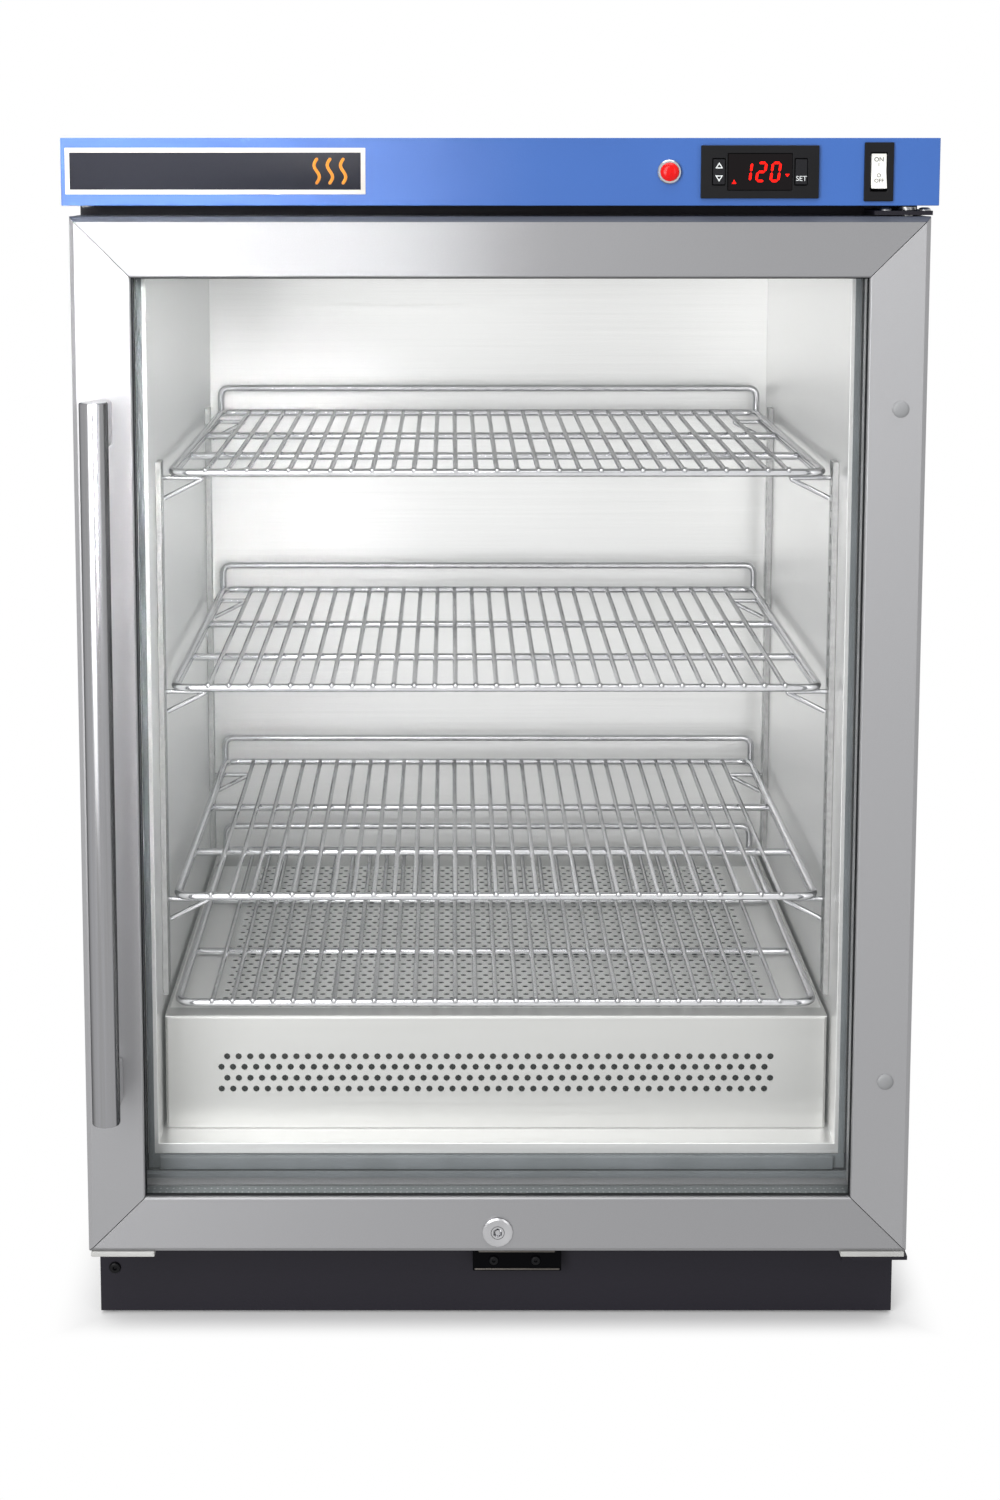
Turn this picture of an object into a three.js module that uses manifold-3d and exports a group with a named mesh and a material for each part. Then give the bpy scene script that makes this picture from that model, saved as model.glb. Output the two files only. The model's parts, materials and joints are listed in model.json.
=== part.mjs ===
// Blanket warming cabinet: an insulated, heated under-counter cabinet with a glazed door.
// Millimetres, +Z up. The door faces -Y.
// Depths below are measured from the door's front face, towards the back.

import * as THREE from 'three';
import { mergeVertices } from 'three/addons/utils/BufferGeometryUtils.js';
import Module from 'manifold-3d';

const wasm = await Module();
wasm.setup();

// Gaps and facets
const GAP = 0.3;
const WELD = 1e-4;
const OVERLAP = 0.1;
const PAST = 1;
const ROUND_SIDES = 16;
const SMALL_SIDES = 12;
const WIRE_SIDES = 4;
const ROD_SIDES = 6;

// Cabinet
const CAP_WIDTH = 600;
const HEIGHT = 871;
const CAP_HEIGHT = 46;
const CAP_DEPTH = 554.5;
const CAP_SHEET = 1.5;
const CAP_RETURN_DEPTH = 60;
const BODY_WIDTH = 590;
const FRONT_PLANE = 52.3;
const BACK_PLANE = 557.3;
const SHEET = 1;
const FLANGE_THICKNESS = 2;
const SKIRT_BOTTOM = 2;
const BASE_TOP = 72.3;
const BASE_SHEET = 1.8;
const KICK_THICKNESS = 1.5;
const BASE_CLEARANCE = 2;

// Liner and heated space
const LINER_HALF_WIDTH = 250;
const LINER_FLOOR = 132.5;
const LINER_CEILING = 781;
const LINER_BACK = 500;
const LINER_LIP = 8;

// Door
const DOOR_HALF_WIDTH = 295.5;
const DOOR_BOTTOM = 72.4;
const DOOR_TOP = 817.4;
const DOOR_THICKNESS = 42;
const MEMBER_WIDTH = 41.5;
const EDGE_BEVEL = 3.5;
const INNER_BEVEL = 1;
const GLASS_GROOVE_DEPTH = 11.5;
const GLASS_FRONT = 6.4;
const PANE_THICKNESS = 4;
const SPACER_THICKNESS = 15.6;
const GLASS_EDGE = 31;
const SPACER_WIDTH = 8;
const GASKET_HALF_WIDTH = 272;
const GASKET_BOTTOM = 100;
const GASKET_TOP = 790;
const GASKET_WIDTH = 13.5;

// Hinges
const HINGE_X = 282;
const HINGE_Y = 21;
const HINGE_PIN_RADIUS = 3.9;
const HINGE_BORE_RADIUS = 4.4;
const HINGE_PIN_DEPTH = 9;
const HINGE_PLATE = 3;
const HINGE_LEFT = 257;
const HINGE_RIGHT = 297;
const HINGE_PLATE_FRONT = 6;
const HINGE_LEG_RIGHT = 292;
const HINGE_LEG_DROP = 22;
const HINGE_HEAD = 2;
const HINGE_HEAD_RADIUS = 6;
const HINGE_TOP_CLEARANCE = 1;
const HINGE_PAD_CLEARANCE = 1.4;
const PAD_HEIGHT = 4;
const PAD_INNER = 248;
const PAD_OUTER = 294;
const PAD_INSET = 2;

// Handle
const HANDLE_X = -275;
const HANDLE_Y = -38;
const HANDLE_RADIUS = 9.8;
const HANDLE_BOTTOM = 186;
const HANDLE_TOP = 694;
const POST_WIDTH = 14;
const POST_HEIGHT = 32;
const POST_INSET = 18;

// Lock
const LOCK_Z = 88.5;
const LOCK_FLANGE_RADIUS = 10.85;
const LOCK_BODY_RADIUS = 9;
const LOCK_BARREL_RADIUS = 4.6;
const LOCK_BORE_CLEARANCE = 0.4;
const LOCK_HOLE_CLEARANCE = 0.5;
const LOCK_TAIL = 0.8;
const LOCK_FACE = 2.4;
const LOCK_RIM_EASE = [1.2, 0.8];
const KEYWAY_RADIUS = 3.5;
const KEYWAY_POST_RADIUS = 1.7;
const KEYWAY_DEPTH = 6;
const KEYWAY_POST_DROP = 1;
const KEYWAY_SIDES = 6;
const CAM_FRONT = 44;
const CAM_THICKNESS = 3;
const CAM_LENGTH = 27;
const CAM_WIDTH = 12;
const STRIKE_LEFT = -17.5;
const STRIKE_RIGHT = 48;
const STRIKE_BOTTOM = 39;
const STRIKE_TOP = 68;
const STRIKE_FRONT = 40;
const STRIKE_PLATE = 3;

// Wire shelves
const SHELF_HEIGHTS = { shelf_upper: 628.8, shelf_middle: 468.6, shelf_lower: 309.8 };
const RACK_HEIGHT = 227.6;
const SHELF_HALF_WIDTH = 238.5;
const SHELF_FRONT = 88;
const SHELF_BACK = 482;
const CROSS_ROD_DEPTHS = [215, 345];
const SHELF_ROD_RADIUS = 3;
const WIRE_RADIUS = 1.9;
const WIRE_COUNT = 29;
const WIRE_PITCH = 15.2;
const WIRE_RISE = 0.8;
const BACK_STOP_RISE = 22;
const CROSS_ROD_DROP = 4.2;
const CROSS_ROD_HALF = 236.5;

// Shelf standards and their wire brackets
const STANDARD_DEPTHS = { front: 98, rear: 455 };
const STANDARD_BOTTOM = 233;
const STANDARD_TOP = 636;
const STANDARD_WIDTH = 16;
const STANDARD_PROUD = 4;
const BRACKET_WIRE = 2;
const BRACKET_REACH = 31;
const BRACKET_DROP = 15;
const BRACKET_RUNNER_INSET = 6;
const BRACKET_TOE = 1.2;

// Heater
const COVER_HALF_WIDTH = 247.5;
const COVER_FRONT = 80;
const COVER_TOP = 220;
const COVER_SHEET = 1.2;
const COVER_HOLE_ROWS = [188.6, 180.4, 171.8, 163.4];
const COVER_HOLE_COUNT = 48;
const COVER_HOLE_PITCH = 8.66;
const COVER_HOLE_RADIUS = 2.3;
const ELEMENT_RADIUS = 4;
const ELEMENT_HEIGHT = 174;
const ELEMENT_BEND = 20;
const ELEMENT_SIDES = 6;
const ELEMENT_STEPS = 64;
const ELEMENT_OUTER = 222;
const ELEMENT_INNER = 180;
const ELEMENT_PASSES = [120, 170, 220];
const FAN_SIZE = 80;
const FAN_DEPTH = 25;
const FAN_FRONT = 330;
const FAN_HEIGHT = 176;
const FAN_BLADES = 7;
const FAN_RIM = 3;
const FAN_MOTOR_DEPTH = 6;
const FAN_MOTOR_RADIUS = 18;
const FAN_HUB_RADIUS = 16;
const FAN_HUB_INSET = 2;
const FAN_STRUT = [3, 4];
const FAN_BLADE = [20, 12, 1.4];
const FAN_BLADE_PITCH_DEG = 35;
const FAN_BLADE_PLACE = [24, 9];
const PROBE_X = 215;
const PROBE_DROP = 12;
const PROBE_RADIUS = 3;
const PROBE_FLANGE = [8, 3];
const PROBE_LENGTH = 57;
const PROBE_TIP = 2;

// Controls on the cap's fascia
const CONTROL_Z = 848;
const LAMP_X = 115.4;
const LAMP_RADIUS = 8.35;
const LAMP_HOLE_RADIUS = 5.7;
const LAMP_BODY_RADIUS = 5.2;
const LAMP_BODY_LENGTH = 20;
const LAMP_RIM = 2.6;
const LAMP_RIM_EASE = [0.7, 0.8];
const LENS_RADIUS = 6.4;
const LENS_SEAT = 0.9;
const LENS_DOME = [[5.2, 1.3], [3, 2], [0, 2.2]];
const CONTROLLER_X = 176.8;
const CONTROLLER_WIDTH = 80.4;
const CONTROLLER_HEIGHT = 36;
const CONTROLLER_PROUD = 3.5;
const CONTROLLER_CUTOUT = [72, 30];
const CONTROLLER_BODY = { half: 35.5, depth: 58, height: 29 };
const KEY_CLEARANCE = 0.4;
const KEY_END_CLEARANCE = 0.6;
const KEY_POCKET_FLOOR = 0.2;
const PIVOT_RIB = 1;
const WINDOW_SEAT = 1.6;
const WINDOW_PROUD = 0.2;
const KEY_PROUD = 0.8;
const KEY_OFFSET = 28;
const KEY_WIDTH = 8;
const KEY_HEIGHT = 17;
const WINDOW_WIDTH = 44;
const WINDOW_HEIGHT = 25;
const SWITCH_X = 258;
const SWITCH_WIDTH = 20;
const SWITCH_HEIGHT = 40;
const ROCKER_WIDTH = 10.6;
const ROCKER_HEIGHT = 24;
const ROCKER_TILT_DEG = 8;
const ROCKER_PIVOT_DEPTH = 1.5;
const ROCKER_EAR = 4.2;
const ROCKER_WAIST = 2.2;
const ROCKER_BACK = 4;
const SWITCH_PROUD = 2.5;
const SWITCH_CUTOUT = [18, 34];
const SWITCH_BODY = { width: 17, height: 33, depth: 24 };
const SWITCH_WELL_DEPTH = 10;
const ROCKER_CLEARANCE = 0.4;
const ROCKER_END_CLEARANCE = 1.2;
const INLET_X = 200;
const INLET_CUTOUT = [28, 20];
const INLET_FLANGE = [40, 30];
const INLET_SHELL = [27, 19];
const INLET_SOCKET = [22, 14];
const INLET_SHELL_DEPTH = 22;
const INLET_SOCKET_DEPTH = 14;
const BLADE_HALF = [1, 2];
const BLADE_PLACES = [[-7, -2], [0, 2], [7, -2]];

// Feet
const FOOT_X = 262;
const FOOT_DEPTHS = { front: 90, rear: 520 };
const FOOT_PAD_RADIUS = 18;
const FOOT_PAD_HEIGHT = 4;
const FOOT_COLLAR_RADIUS = 9;
const FOOT_COLLAR_TOP = 9;
const FOOT_STUD_RADIUS = 5;

const CAP_BOTTOM = HEIGHT - CAP_HEIGHT;
const ROOF = CAP_BOTTOM - GAP;
const HANDLE_FRONT = HANDLE_Y - HANDLE_RADIUS;
const CENTRE_DEPTH = (HANDLE_FRONT + BACK_PLANE) / 2;

// Finishes: colour, roughness, metalness
const FINISHES = {
  blackPaint: [0x1c1b20, 0.5, 0.2],
  bluePaint: [0x4673c3, 0.35, 0.1],
  satinSteel: [0xb9babd, 0.35, 0.9],
  brightSteel: [0xd8dade, 0.2, 0.95],
  foam: [0xe6dcb0, 0.9, 0],
  chrome: [0xdfe3e8, 0.12, 1],
  blackPlastic: [0x121214, 0.4, 0],
  redLens: [0xb81818, 0.2, 0],
  whitePlastic: [0xe9e7e2, 0.4, 0],
  greyPlastic: [0xb9bdc0, 0.5, 0],
  greyRubber: [0x73787c, 0.8, 0],
  glass: [0xdfeaea, 0.05, 0],
};

/** A welded closed solid from a three.js geometry, with its faces pointing out. */
function solidOf(geometry) {
  const bare = new THREE.BufferGeometry();
  bare.setAttribute('position', geometry.attributes.position);
  bare.setIndex(geometry.index);
  const welded = mergeVertices(bare, WELD);
  const points = welded.attributes.position;
  const triangles = [];
  let volume = 0;
  const corner = [new THREE.Vector3(), new THREE.Vector3(), new THREE.Vector3()];
  for (let i = 0; i < welded.index.count; i += 3) {
    const ids = [0, 1, 2].map((k) => welded.index.getX(i + k));
    if (new Set(ids).size < 3) continue;
    ids.forEach((id, k) => corner[k].fromBufferAttribute(points, id));
    volume += corner[0].dot(corner[1].clone().cross(corner[2]));
    triangles.push(ids);
  }
  const ordered = volume < 0 ? triangles.map(([a, b, c]) => [a, c, b]) : triangles;
  return new wasm.Manifold(new wasm.Mesh({
    numProp: 3,
    vertProperties: new Float32Array(points.array),
    triVerts: new Uint32Array(ordered.flat()),
  }));
}

/** A three.js geometry from a solid. */
function geometryOf(solid) {
  const mesh = solid.getMesh();
  const geometry = new THREE.BufferGeometry();
  geometry.setAttribute('position', new THREE.BufferAttribute(mesh.vertProperties, 3));
  geometry.setIndex(new THREE.BufferAttribute(mesh.triVerts, 1));
  geometry.computeVertexNormals();
  return geometry;
}

function join(solids) {
  return solids.reduce((whole, solid) => whole.add(solid));
}

function cut(solid, cutters) {
  return cutters.reduce((whole, cutter) => whole.subtract(cutter), solid);
}

/** A named mesh in one of the finishes. */
function piece(name, solid, finish) {
  const [color, roughness, metalness] = FINISHES[finish];
  const material = new THREE.MeshStandardMaterial({ color, roughness, metalness });
  const mesh = new THREE.Mesh(geometryOf(solid), material);
  mesh.name = name;
  return mesh;
}

/** A box between two corners. */
function box([x0, y0, z0], [x1, y1, z1]) {
  const geometry = new THREE.BoxGeometry(x1 - x0, y1 - y0, z1 - z0);
  geometry.translate((x0 + x1) / 2, (y0 + y1) / 2, (z0 + z1) / 2);
  return solidOf(geometry);
}

/** A straight round rod between two points. */
function rod(from, to, radius, sides = ROUND_SIDES) {
  const a = new THREE.Vector3(...from);
  const b = new THREE.Vector3(...to);
  const along = b.clone().sub(a);
  const geometry = new THREE.CylinderGeometry(radius, radius, along.length(), sides);
  const turn = new THREE.Quaternion().setFromUnitVectors(new THREE.Vector3(0, 1, 0), along.normalize());
  geometry.applyQuaternion(turn);
  geometry.translate(...a.add(b).multiplyScalar(0.5));
  return solidOf(geometry);
}

/** A turned solid on the Z axis, from [radius, height] points that start and end on the axis. */
function turned(profile, sides = ROUND_SIDES) {
  const geometry = new THREE.LatheGeometry(profile.map(([r, h]) => new THREE.Vector2(r, h)), sides);
  geometry.rotateX(Math.PI / 2);
  return solidOf(geometry);
}

/** A prism of [across, up] points, pushed along +X by width. The points lie in the YZ plane. */
function prismAlongX(points, width) {
  const shape = new THREE.Shape(points.map(([y, z]) => new THREE.Vector2(y, z)));
  const geometry = new THREE.ExtrudeGeometry(shape, { depth: width, bevelEnabled: false });
  geometry.rotateX(Math.PI / 2);
  geometry.rotateZ(Math.PI / 2);
  return solidOf(geometry);
}

// Cabinet shell

function outerWrapper() {
  const half = BODY_WIDTH / 2;
  const side = (sign) => box(
    [Math.min(sign * half, sign * (half - SHEET)), FRONT_PLANE + KICK_THICKNESS, SKIRT_BOTTOM],
    [Math.max(sign * half, sign * (half - SHEET)), BACK_PLANE - SHEET - GAP, ROOF],
  );
  const roof = box([-half, FRONT_PLANE, ROOF - SHEET], [half, BACK_PLANE - SHEET - GAP, ROOF]);
  const mouth = LINER_HALF_WIDTH + LINER_LIP + GAP;
  const flange = box([-half, FRONT_PLANE, BASE_TOP + GAP], [half, FRONT_PLANE + FLANGE_THICKNESS, ROOF]);
  const opening = box(
    [-mouth, FRONT_PLANE - PAST, LINER_FLOOR - LINER_LIP - GAP],
    [mouth, FRONT_PLANE + FLANGE_THICKNESS + PAST, LINER_CEILING + LINER_LIP + GAP],
  );
  return piece('outer_wrapper', join([side(-1), side(1), roof, flange.subtract(opening)]), 'blackPaint');
}

function backPanel() {
  const half = BODY_WIDTH / 2;
  const panel = box([-half, BACK_PLANE - SHEET, SKIRT_BOTTOM], [half, BACK_PLANE, ROOF]);
  return piece('back_panel', panel, 'blackPaint');
}

function basePan() {
  const half = BODY_WIDTH / 2 - SHEET - GAP;
  const front = FRONT_PLANE + FLANGE_THICKNESS + GAP;
  const back = BACK_PLANE - SHEET - GAP;
  const tray = box([-half, front, SKIRT_BOTTOM + BASE_CLEARANCE], [half, back, BASE_TOP]);
  const hollow = box(
    [-half + BASE_SHEET, front + BASE_SHEET, 0],
    [half - BASE_SHEET, back - BASE_SHEET, BASE_TOP - BASE_SHEET],
  );
  return piece('base_pan', tray.subtract(hollow), 'blackPaint');
}

function kickPlate() {
  const half = BODY_WIDTH / 2;
  const front = FRONT_PLANE - GAP;
  const plate = box([-half, front, SKIRT_BOTTOM], [half, front + KICK_THICKNESS, BASE_TOP]);
  return piece('kick_plate', plate, 'blackPaint');
}

function innerLiner() {
  const half = LINER_HALF_WIDTH;
  const shell = box(
    [-half - SHEET, FRONT_PLANE, LINER_FLOOR - SHEET],
    [half + SHEET, LINER_BACK + SHEET, LINER_CEILING + SHEET],
  );
  const lip = box(
    [-half - LINER_LIP, FRONT_PLANE, LINER_FLOOR - LINER_LIP],
    [half + LINER_LIP, FRONT_PLANE + SHEET, LINER_CEILING + LINER_LIP],
  );
  const space = box([-half, FRONT_PLANE - PAST, LINER_FLOOR], [half, LINER_BACK, LINER_CEILING]);
  return piece('inner_liner', shell.add(lip).subtract(space), 'brightSteel');
}

function insulationFoam() {
  const half = BODY_WIDTH / 2 - SHEET - GAP;
  const clear = SHEET + GAP;
  const front = FRONT_PLANE + FLANGE_THICKNESS + GAP;
  const block = box([-half, front, BASE_TOP + GAP], [half, BACK_PLANE - SHEET - 2 * GAP, ROOF - SHEET - GAP]);
  const space = box(
    [-LINER_HALF_WIDTH - clear, front - PAST, LINER_FLOOR - clear],
    [LINER_HALF_WIDTH + clear, LINER_BACK + clear, LINER_CEILING + clear],
  );
  return piece('insulation_foam', block.subtract(space), 'foam');
}

function foot(name, x, depth) {
  const stud = BASE_TOP - BASE_SHEET - GAP;
  const profile = [
    [0, 0],
    [FOOT_PAD_RADIUS, 0],
    [FOOT_PAD_RADIUS, FOOT_PAD_HEIGHT],
    [FOOT_COLLAR_RADIUS, FOOT_COLLAR_TOP],
    [FOOT_STUD_RADIUS, FOOT_COLLAR_TOP],
    [FOOT_STUD_RADIUS, stud],
    [0, stud],
  ];
  const mesh = piece(name, turned(profile, SMALL_SIDES), 'blackPlastic');
  mesh.position.set(x, depth, 0);
  return mesh;
}

// Cap and controls

function topCap() {
  const half = CAP_WIDTH / 2;
  const inside = half - CAP_SHEET;
  const tray = box([-half, 0, CAP_BOTTOM], [half, CAP_DEPTH, HEIGHT]);
  const hollow = box(
    [-inside, CAP_RETURN_DEPTH, CAP_BOTTOM - PAST],
    [inside, CAP_DEPTH - CAP_SHEET, HEIGHT - CAP_SHEET],
  );
  const fasciaHollow = box(
    [-inside, CAP_SHEET, CAP_BOTTOM + CAP_SHEET],
    [inside, CAP_RETURN_DEPTH + PAST, HEIGHT - CAP_SHEET],
  );
  const through = CAP_SHEET + PAST;
  const window = (x, width, height) => box(
    [x - width / 2, -PAST, CONTROL_Z - height / 2],
    [x + width / 2, through, CONTROL_Z + height / 2],
  );
  const cutters = [
    hollow,
    fasciaHollow,
    rod([LAMP_X, -PAST, CONTROL_Z], [LAMP_X, through, CONTROL_Z], LAMP_HOLE_RADIUS),
    window(CONTROLLER_X, ...CONTROLLER_CUTOUT),
    window(SWITCH_X, ...SWITCH_CUTOUT),
    box(
      [INLET_X - INLET_CUTOUT[0] / 2, CAP_DEPTH - through, CONTROL_Z - INLET_CUTOUT[1] / 2],
      [INLET_X + INLET_CUTOUT[0] / 2, CAP_DEPTH + PAST, CONTROL_Z + INLET_CUTOUT[1] / 2],
    ),
  ];
  return piece('top_cap', cut(tray, cutters), 'bluePaint');
}

/** Turns a solid made on +Z so that its +Z end faces the front, at a place on the fascia. */
function facingFront(mesh, x, z) {
  mesh.rotation.x = Math.PI / 2;
  mesh.position.set(x, 0, z);
  return mesh;
}

function pilotLamp() {
  const well = LENS_RADIUS + GAP;
  const [rimIn, rimDown] = LAMP_RIM_EASE;
  const bezel = turned([
    [0, -LAMP_BODY_LENGTH], [LAMP_BODY_RADIUS, -LAMP_BODY_LENGTH], [LAMP_BODY_RADIUS, GAP],
    [LAMP_RADIUS, GAP], [LAMP_RADIUS, LAMP_RIM - rimDown], [LAMP_RADIUS - rimIn, LAMP_RIM],
    [well, LAMP_RIM], [well, LENS_SEAT], [0, LENS_SEAT],
  ]);
  const foot = LENS_SEAT + GAP;
  const lens = turned([
    [0, foot], [LENS_RADIUS, foot], [LENS_RADIUS, LAMP_RIM],
    ...LENS_DOME.map(([radius, rise]) => [radius, LAMP_RIM + rise]),
  ]);
  return [
    facingFront(piece('pilot_lamp_bezel', bezel, 'chrome'), LAMP_X, CONTROL_Z),
    facingFront(piece('pilot_lamp_lens', lens, 'redLens'), LAMP_X, CONTROL_Z),
  ];
}

function controllerPieces() {
  const front = -CONTROLLER_PROUD;
  const at = (x0, x1, y0, y1, height) => box(
    [CONTROLLER_X + x0, y0, CONTROL_Z - height / 2],
    [CONTROLLER_X + x1, y1, CONTROL_Z + height / 2],
  );
  const bezel = at(-CONTROLLER_WIDTH / 2, CONTROLLER_WIDTH / 2, front, -GAP, CONTROLLER_HEIGHT);
  const { half, depth, height } = CONTROLLER_BODY;
  const body = at(-half, half, -GAP - OVERLAP, depth, height);
  const pocketHalf = KEY_WIDTH / 2 + KEY_CLEARANCE;
  const keyPocket = (x) => at(
    x - pocketHalf, x + pocketHalf, front - PAST, KEY_POCKET_FLOOR, KEY_HEIGHT + 2 * KEY_END_CLEARANCE,
  );
  const pivotRib = (x) => at(
    x - pocketHalf - OVERLAP, x + pocketHalf + OVERLAP, -PIVOT_RIB, KEY_POCKET_FLOOR + OVERLAP, PIVOT_RIB,
  );
  const seat = front + WINDOW_SEAT;
  const windowSeat = at(-WINDOW_WIDTH / 2, WINDOW_WIDTH / 2, front - PAST, seat, WINDOW_HEIGHT);
  const hollowed = cut(bezel.add(body), [keyPocket(-KEY_OFFSET), keyPocket(KEY_OFFSET), windowSeat]);
  const casing = join([hollowed, pivotRib(-KEY_OFFSET), pivotRib(KEY_OFFSET)]);
  const window = at(
    -WINDOW_WIDTH / 2 + GAP, WINDOW_WIDTH / 2 - GAP, front - WINDOW_PROUD, seat - GAP,
    WINDOW_HEIGHT - 2 * GAP,
  );
  const key = (x) => at(
    x - KEY_WIDTH / 2, x + KEY_WIDTH / 2, front - KEY_PROUD, -PIVOT_RIB - GAP, KEY_HEIGHT,
  );
  return [
    piece('controller_case', casing, 'blackPlastic'),
    piece('controller_window', window, 'blackPlastic'),
    piece('adjust_key', key(-KEY_OFFSET), 'greyRubber'),
    piece('set_key', key(KEY_OFFSET), 'greyRubber'),
  ];
}

function rockerSwitch() {
  const front = -SWITCH_PROUD;
  const at = (width, height, y0, y1) => box(
    [SWITCH_X - width / 2, y0, CONTROL_Z - height / 2],
    [SWITCH_X + width / 2, y1, CONTROL_Z + height / 2],
  );
  const body = at(SWITCH_BODY.width, SWITCH_BODY.height, -GAP - OVERLAP, SWITCH_BODY.depth);
  const bezel = at(SWITCH_WIDTH, SWITCH_HEIGHT, front, -GAP).add(body);
  const well = at(
    ROCKER_WIDTH + 2 * ROCKER_CLEARANCE, ROCKER_HEIGHT + 2 * ROCKER_END_CLEARANCE,
    front - PAST, SWITCH_WELL_DEPTH,
  );
  const end = ROCKER_HEIGHT / 2;
  const foot = end - ROCKER_BACK;
  const profile = [
    [-ROCKER_EAR, end], [-ROCKER_WAIST, 0], [-ROCKER_EAR, -end], [ROCKER_BACK, -foot], [ROCKER_BACK, foot],
  ];
  const rocker = prismAlongX(profile, ROCKER_WIDTH);
  const rockerMesh = piece('switch_rocker', rocker, 'whitePlastic');
  rockerMesh.position.set(SWITCH_X - ROCKER_WIDTH / 2, ROCKER_PIVOT_DEPTH, CONTROL_Z);
  rockerMesh.rotation.x = THREE.MathUtils.degToRad(-ROCKER_TILT_DEG);
  return [piece('switch_bezel', bezel.subtract(well), 'blackPlastic'), rockerMesh];
}

function powerInlet() {
  const at = ([width, height], y0, y1) => box(
    [INLET_X - width / 2, y0, CONTROL_Z - height / 2],
    [INLET_X + width / 2, y1, CONTROL_Z + height / 2],
  );
  const flange = at(INLET_FLANGE, CAP_DEPTH + GAP, BACK_PLANE);
  const shell = at(INLET_SHELL, CAP_DEPTH - INLET_SHELL_DEPTH, CAP_DEPTH + GAP + OVERLAP);
  const socket = at(INLET_SOCKET, CAP_DEPTH - INLET_SOCKET_DEPTH, BACK_PLANE + PAST);
  const [halfWidth, halfHeight] = BLADE_HALF;
  const blades = BLADE_PLACES.map(([dx, dz]) => box(
    [INLET_X + dx - halfWidth, CAP_DEPTH - INLET_SOCKET_DEPTH - PAST, CONTROL_Z + dz - halfHeight],
    [INLET_X + dx + halfWidth, CAP_DEPTH, CONTROL_Z + dz + halfHeight],
  ));
  return piece('power_inlet', join([flange.add(shell).subtract(socket), ...blades]), 'blackPlastic');
}

// Hinges and strike

function hingeBracket(name, plateBottom, legBottom, legTop) {
  const back = FRONT_PLANE - 2 * GAP;
  const plateTop = plateBottom + HINGE_PLATE;
  const plate = box([HINGE_LEFT, HINGE_PLATE_FRONT, plateBottom], [HINGE_RIGHT, back, plateTop]);
  const leg = box([HINGE_LEFT, back - HINGE_PLATE, legBottom], [HINGE_LEG_RIGHT, back, legTop]);
  const bore = rod(
    [HINGE_X, HINGE_Y, plateBottom - PAST], [HINGE_X, HINGE_Y, plateTop + PAST], HINGE_BORE_RADIUS,
  );
  return piece(name, plate.add(leg).subtract(bore), 'blackPaint');
}

/** A headed pin, head at height 0 and shank up to its length. */
function hingePin(name, headHeight, pointsUp, length) {
  const profile = [
    [0, -HINGE_HEAD], [HINGE_HEAD_RADIUS, -HINGE_HEAD], [HINGE_HEAD_RADIUS, 0],
    [HINGE_PIN_RADIUS, 0], [HINGE_PIN_RADIUS, length], [0, length],
  ];
  const mesh = piece(name, turned(profile, ROUND_SIDES), 'satinSteel');
  mesh.position.set(HINGE_X, HINGE_Y, headHeight);
  mesh.rotation.x = pointsUp ? 0 : Math.PI;
  return mesh;
}

function hinges() {
  const upperPlate = DOOR_TOP + HINGE_TOP_CLEARANCE;
  const lowerPlate = DOOR_BOTTOM - PAD_HEIGHT - HINGE_PAD_CLEARANCE - HINGE_PLATE;
  const upperHead = upperPlate + HINGE_PLATE + GAP;
  const lowerHead = lowerPlate - GAP;
  return [
    hingeBracket('upper_hinge_bracket', upperPlate, upperPlate, ROOF),
    hingeBracket('lower_hinge_bracket', lowerPlate, lowerPlate - HINGE_LEG_DROP, lowerPlate + HINGE_PLATE),
    hingePin('upper_hinge_pin', upperHead, false, upperHead - DOOR_TOP + HINGE_PIN_DEPTH),
    hingePin('lower_hinge_pin', lowerHead, true, DOOR_BOTTOM + HINGE_PIN_DEPTH - lowerHead),
  ];
}

function lockStrike() {
  const back = FRONT_PLANE - 2 * GAP;
  const upstand = box(
    [STRIKE_LEFT, STRIKE_FRONT, STRIKE_BOTTOM], [STRIKE_RIGHT, STRIKE_FRONT + STRIKE_PLATE, STRIKE_TOP],
  );
  const shelf = box(
    [STRIKE_LEFT, STRIKE_FRONT, STRIKE_BOTTOM], [STRIKE_RIGHT, back, STRIKE_BOTTOM + STRIKE_PLATE],
  );
  return piece('lock_strike', upstand.add(shelf), 'blackPaint');
}

// Heated space

function shelfStandard(name, sign, depth) {
  const wall = LINER_HALF_WIDTH - GAP;
  const face = wall - STANDARD_PROUD;
  const bar = box(
    [Math.min(sign * wall, sign * face), depth - STANDARD_WIDTH / 2, STANDARD_BOTTOM],
    [Math.max(sign * wall, sign * face), depth + STANDARD_WIDTH / 2, STANDARD_TOP],
  );
  return piece(name, bar, 'satinSteel');
}

/** A wire bracket: a V on each standard, and a runner between them under the shelf's side rod. */
function shelfBracket(name, sign, shelfHeight) {
  const face = LINER_HALF_WIDTH - 2 * GAP - STANDARD_PROUD;
  const top = shelfHeight - SHELF_ROD_RADIUS - BRACKET_WIRE - GAP;
  const tip = face - BRACKET_REACH;
  const toe = face - BRACKET_TOE;
  const wires = Object.values(STANDARD_DEPTHS).flatMap((depth) => [
    rod([sign * face, depth, top], [sign * tip, depth, top], BRACKET_WIRE, ROD_SIDES),
    rod([sign * toe, depth, top - BRACKET_DROP], [sign * tip, depth, top], BRACKET_WIRE, ROD_SIDES),
  ]);
  const runnerX = sign * (face - BRACKET_RUNNER_INSET);
  const runner = rod(
    [runnerX, STANDARD_DEPTHS.front, top], [runnerX, STANDARD_DEPTHS.rear, top], BRACKET_WIRE, ROD_SIDES,
  );
  return piece(name, join([runner, ...wires]), 'chrome');
}

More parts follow.
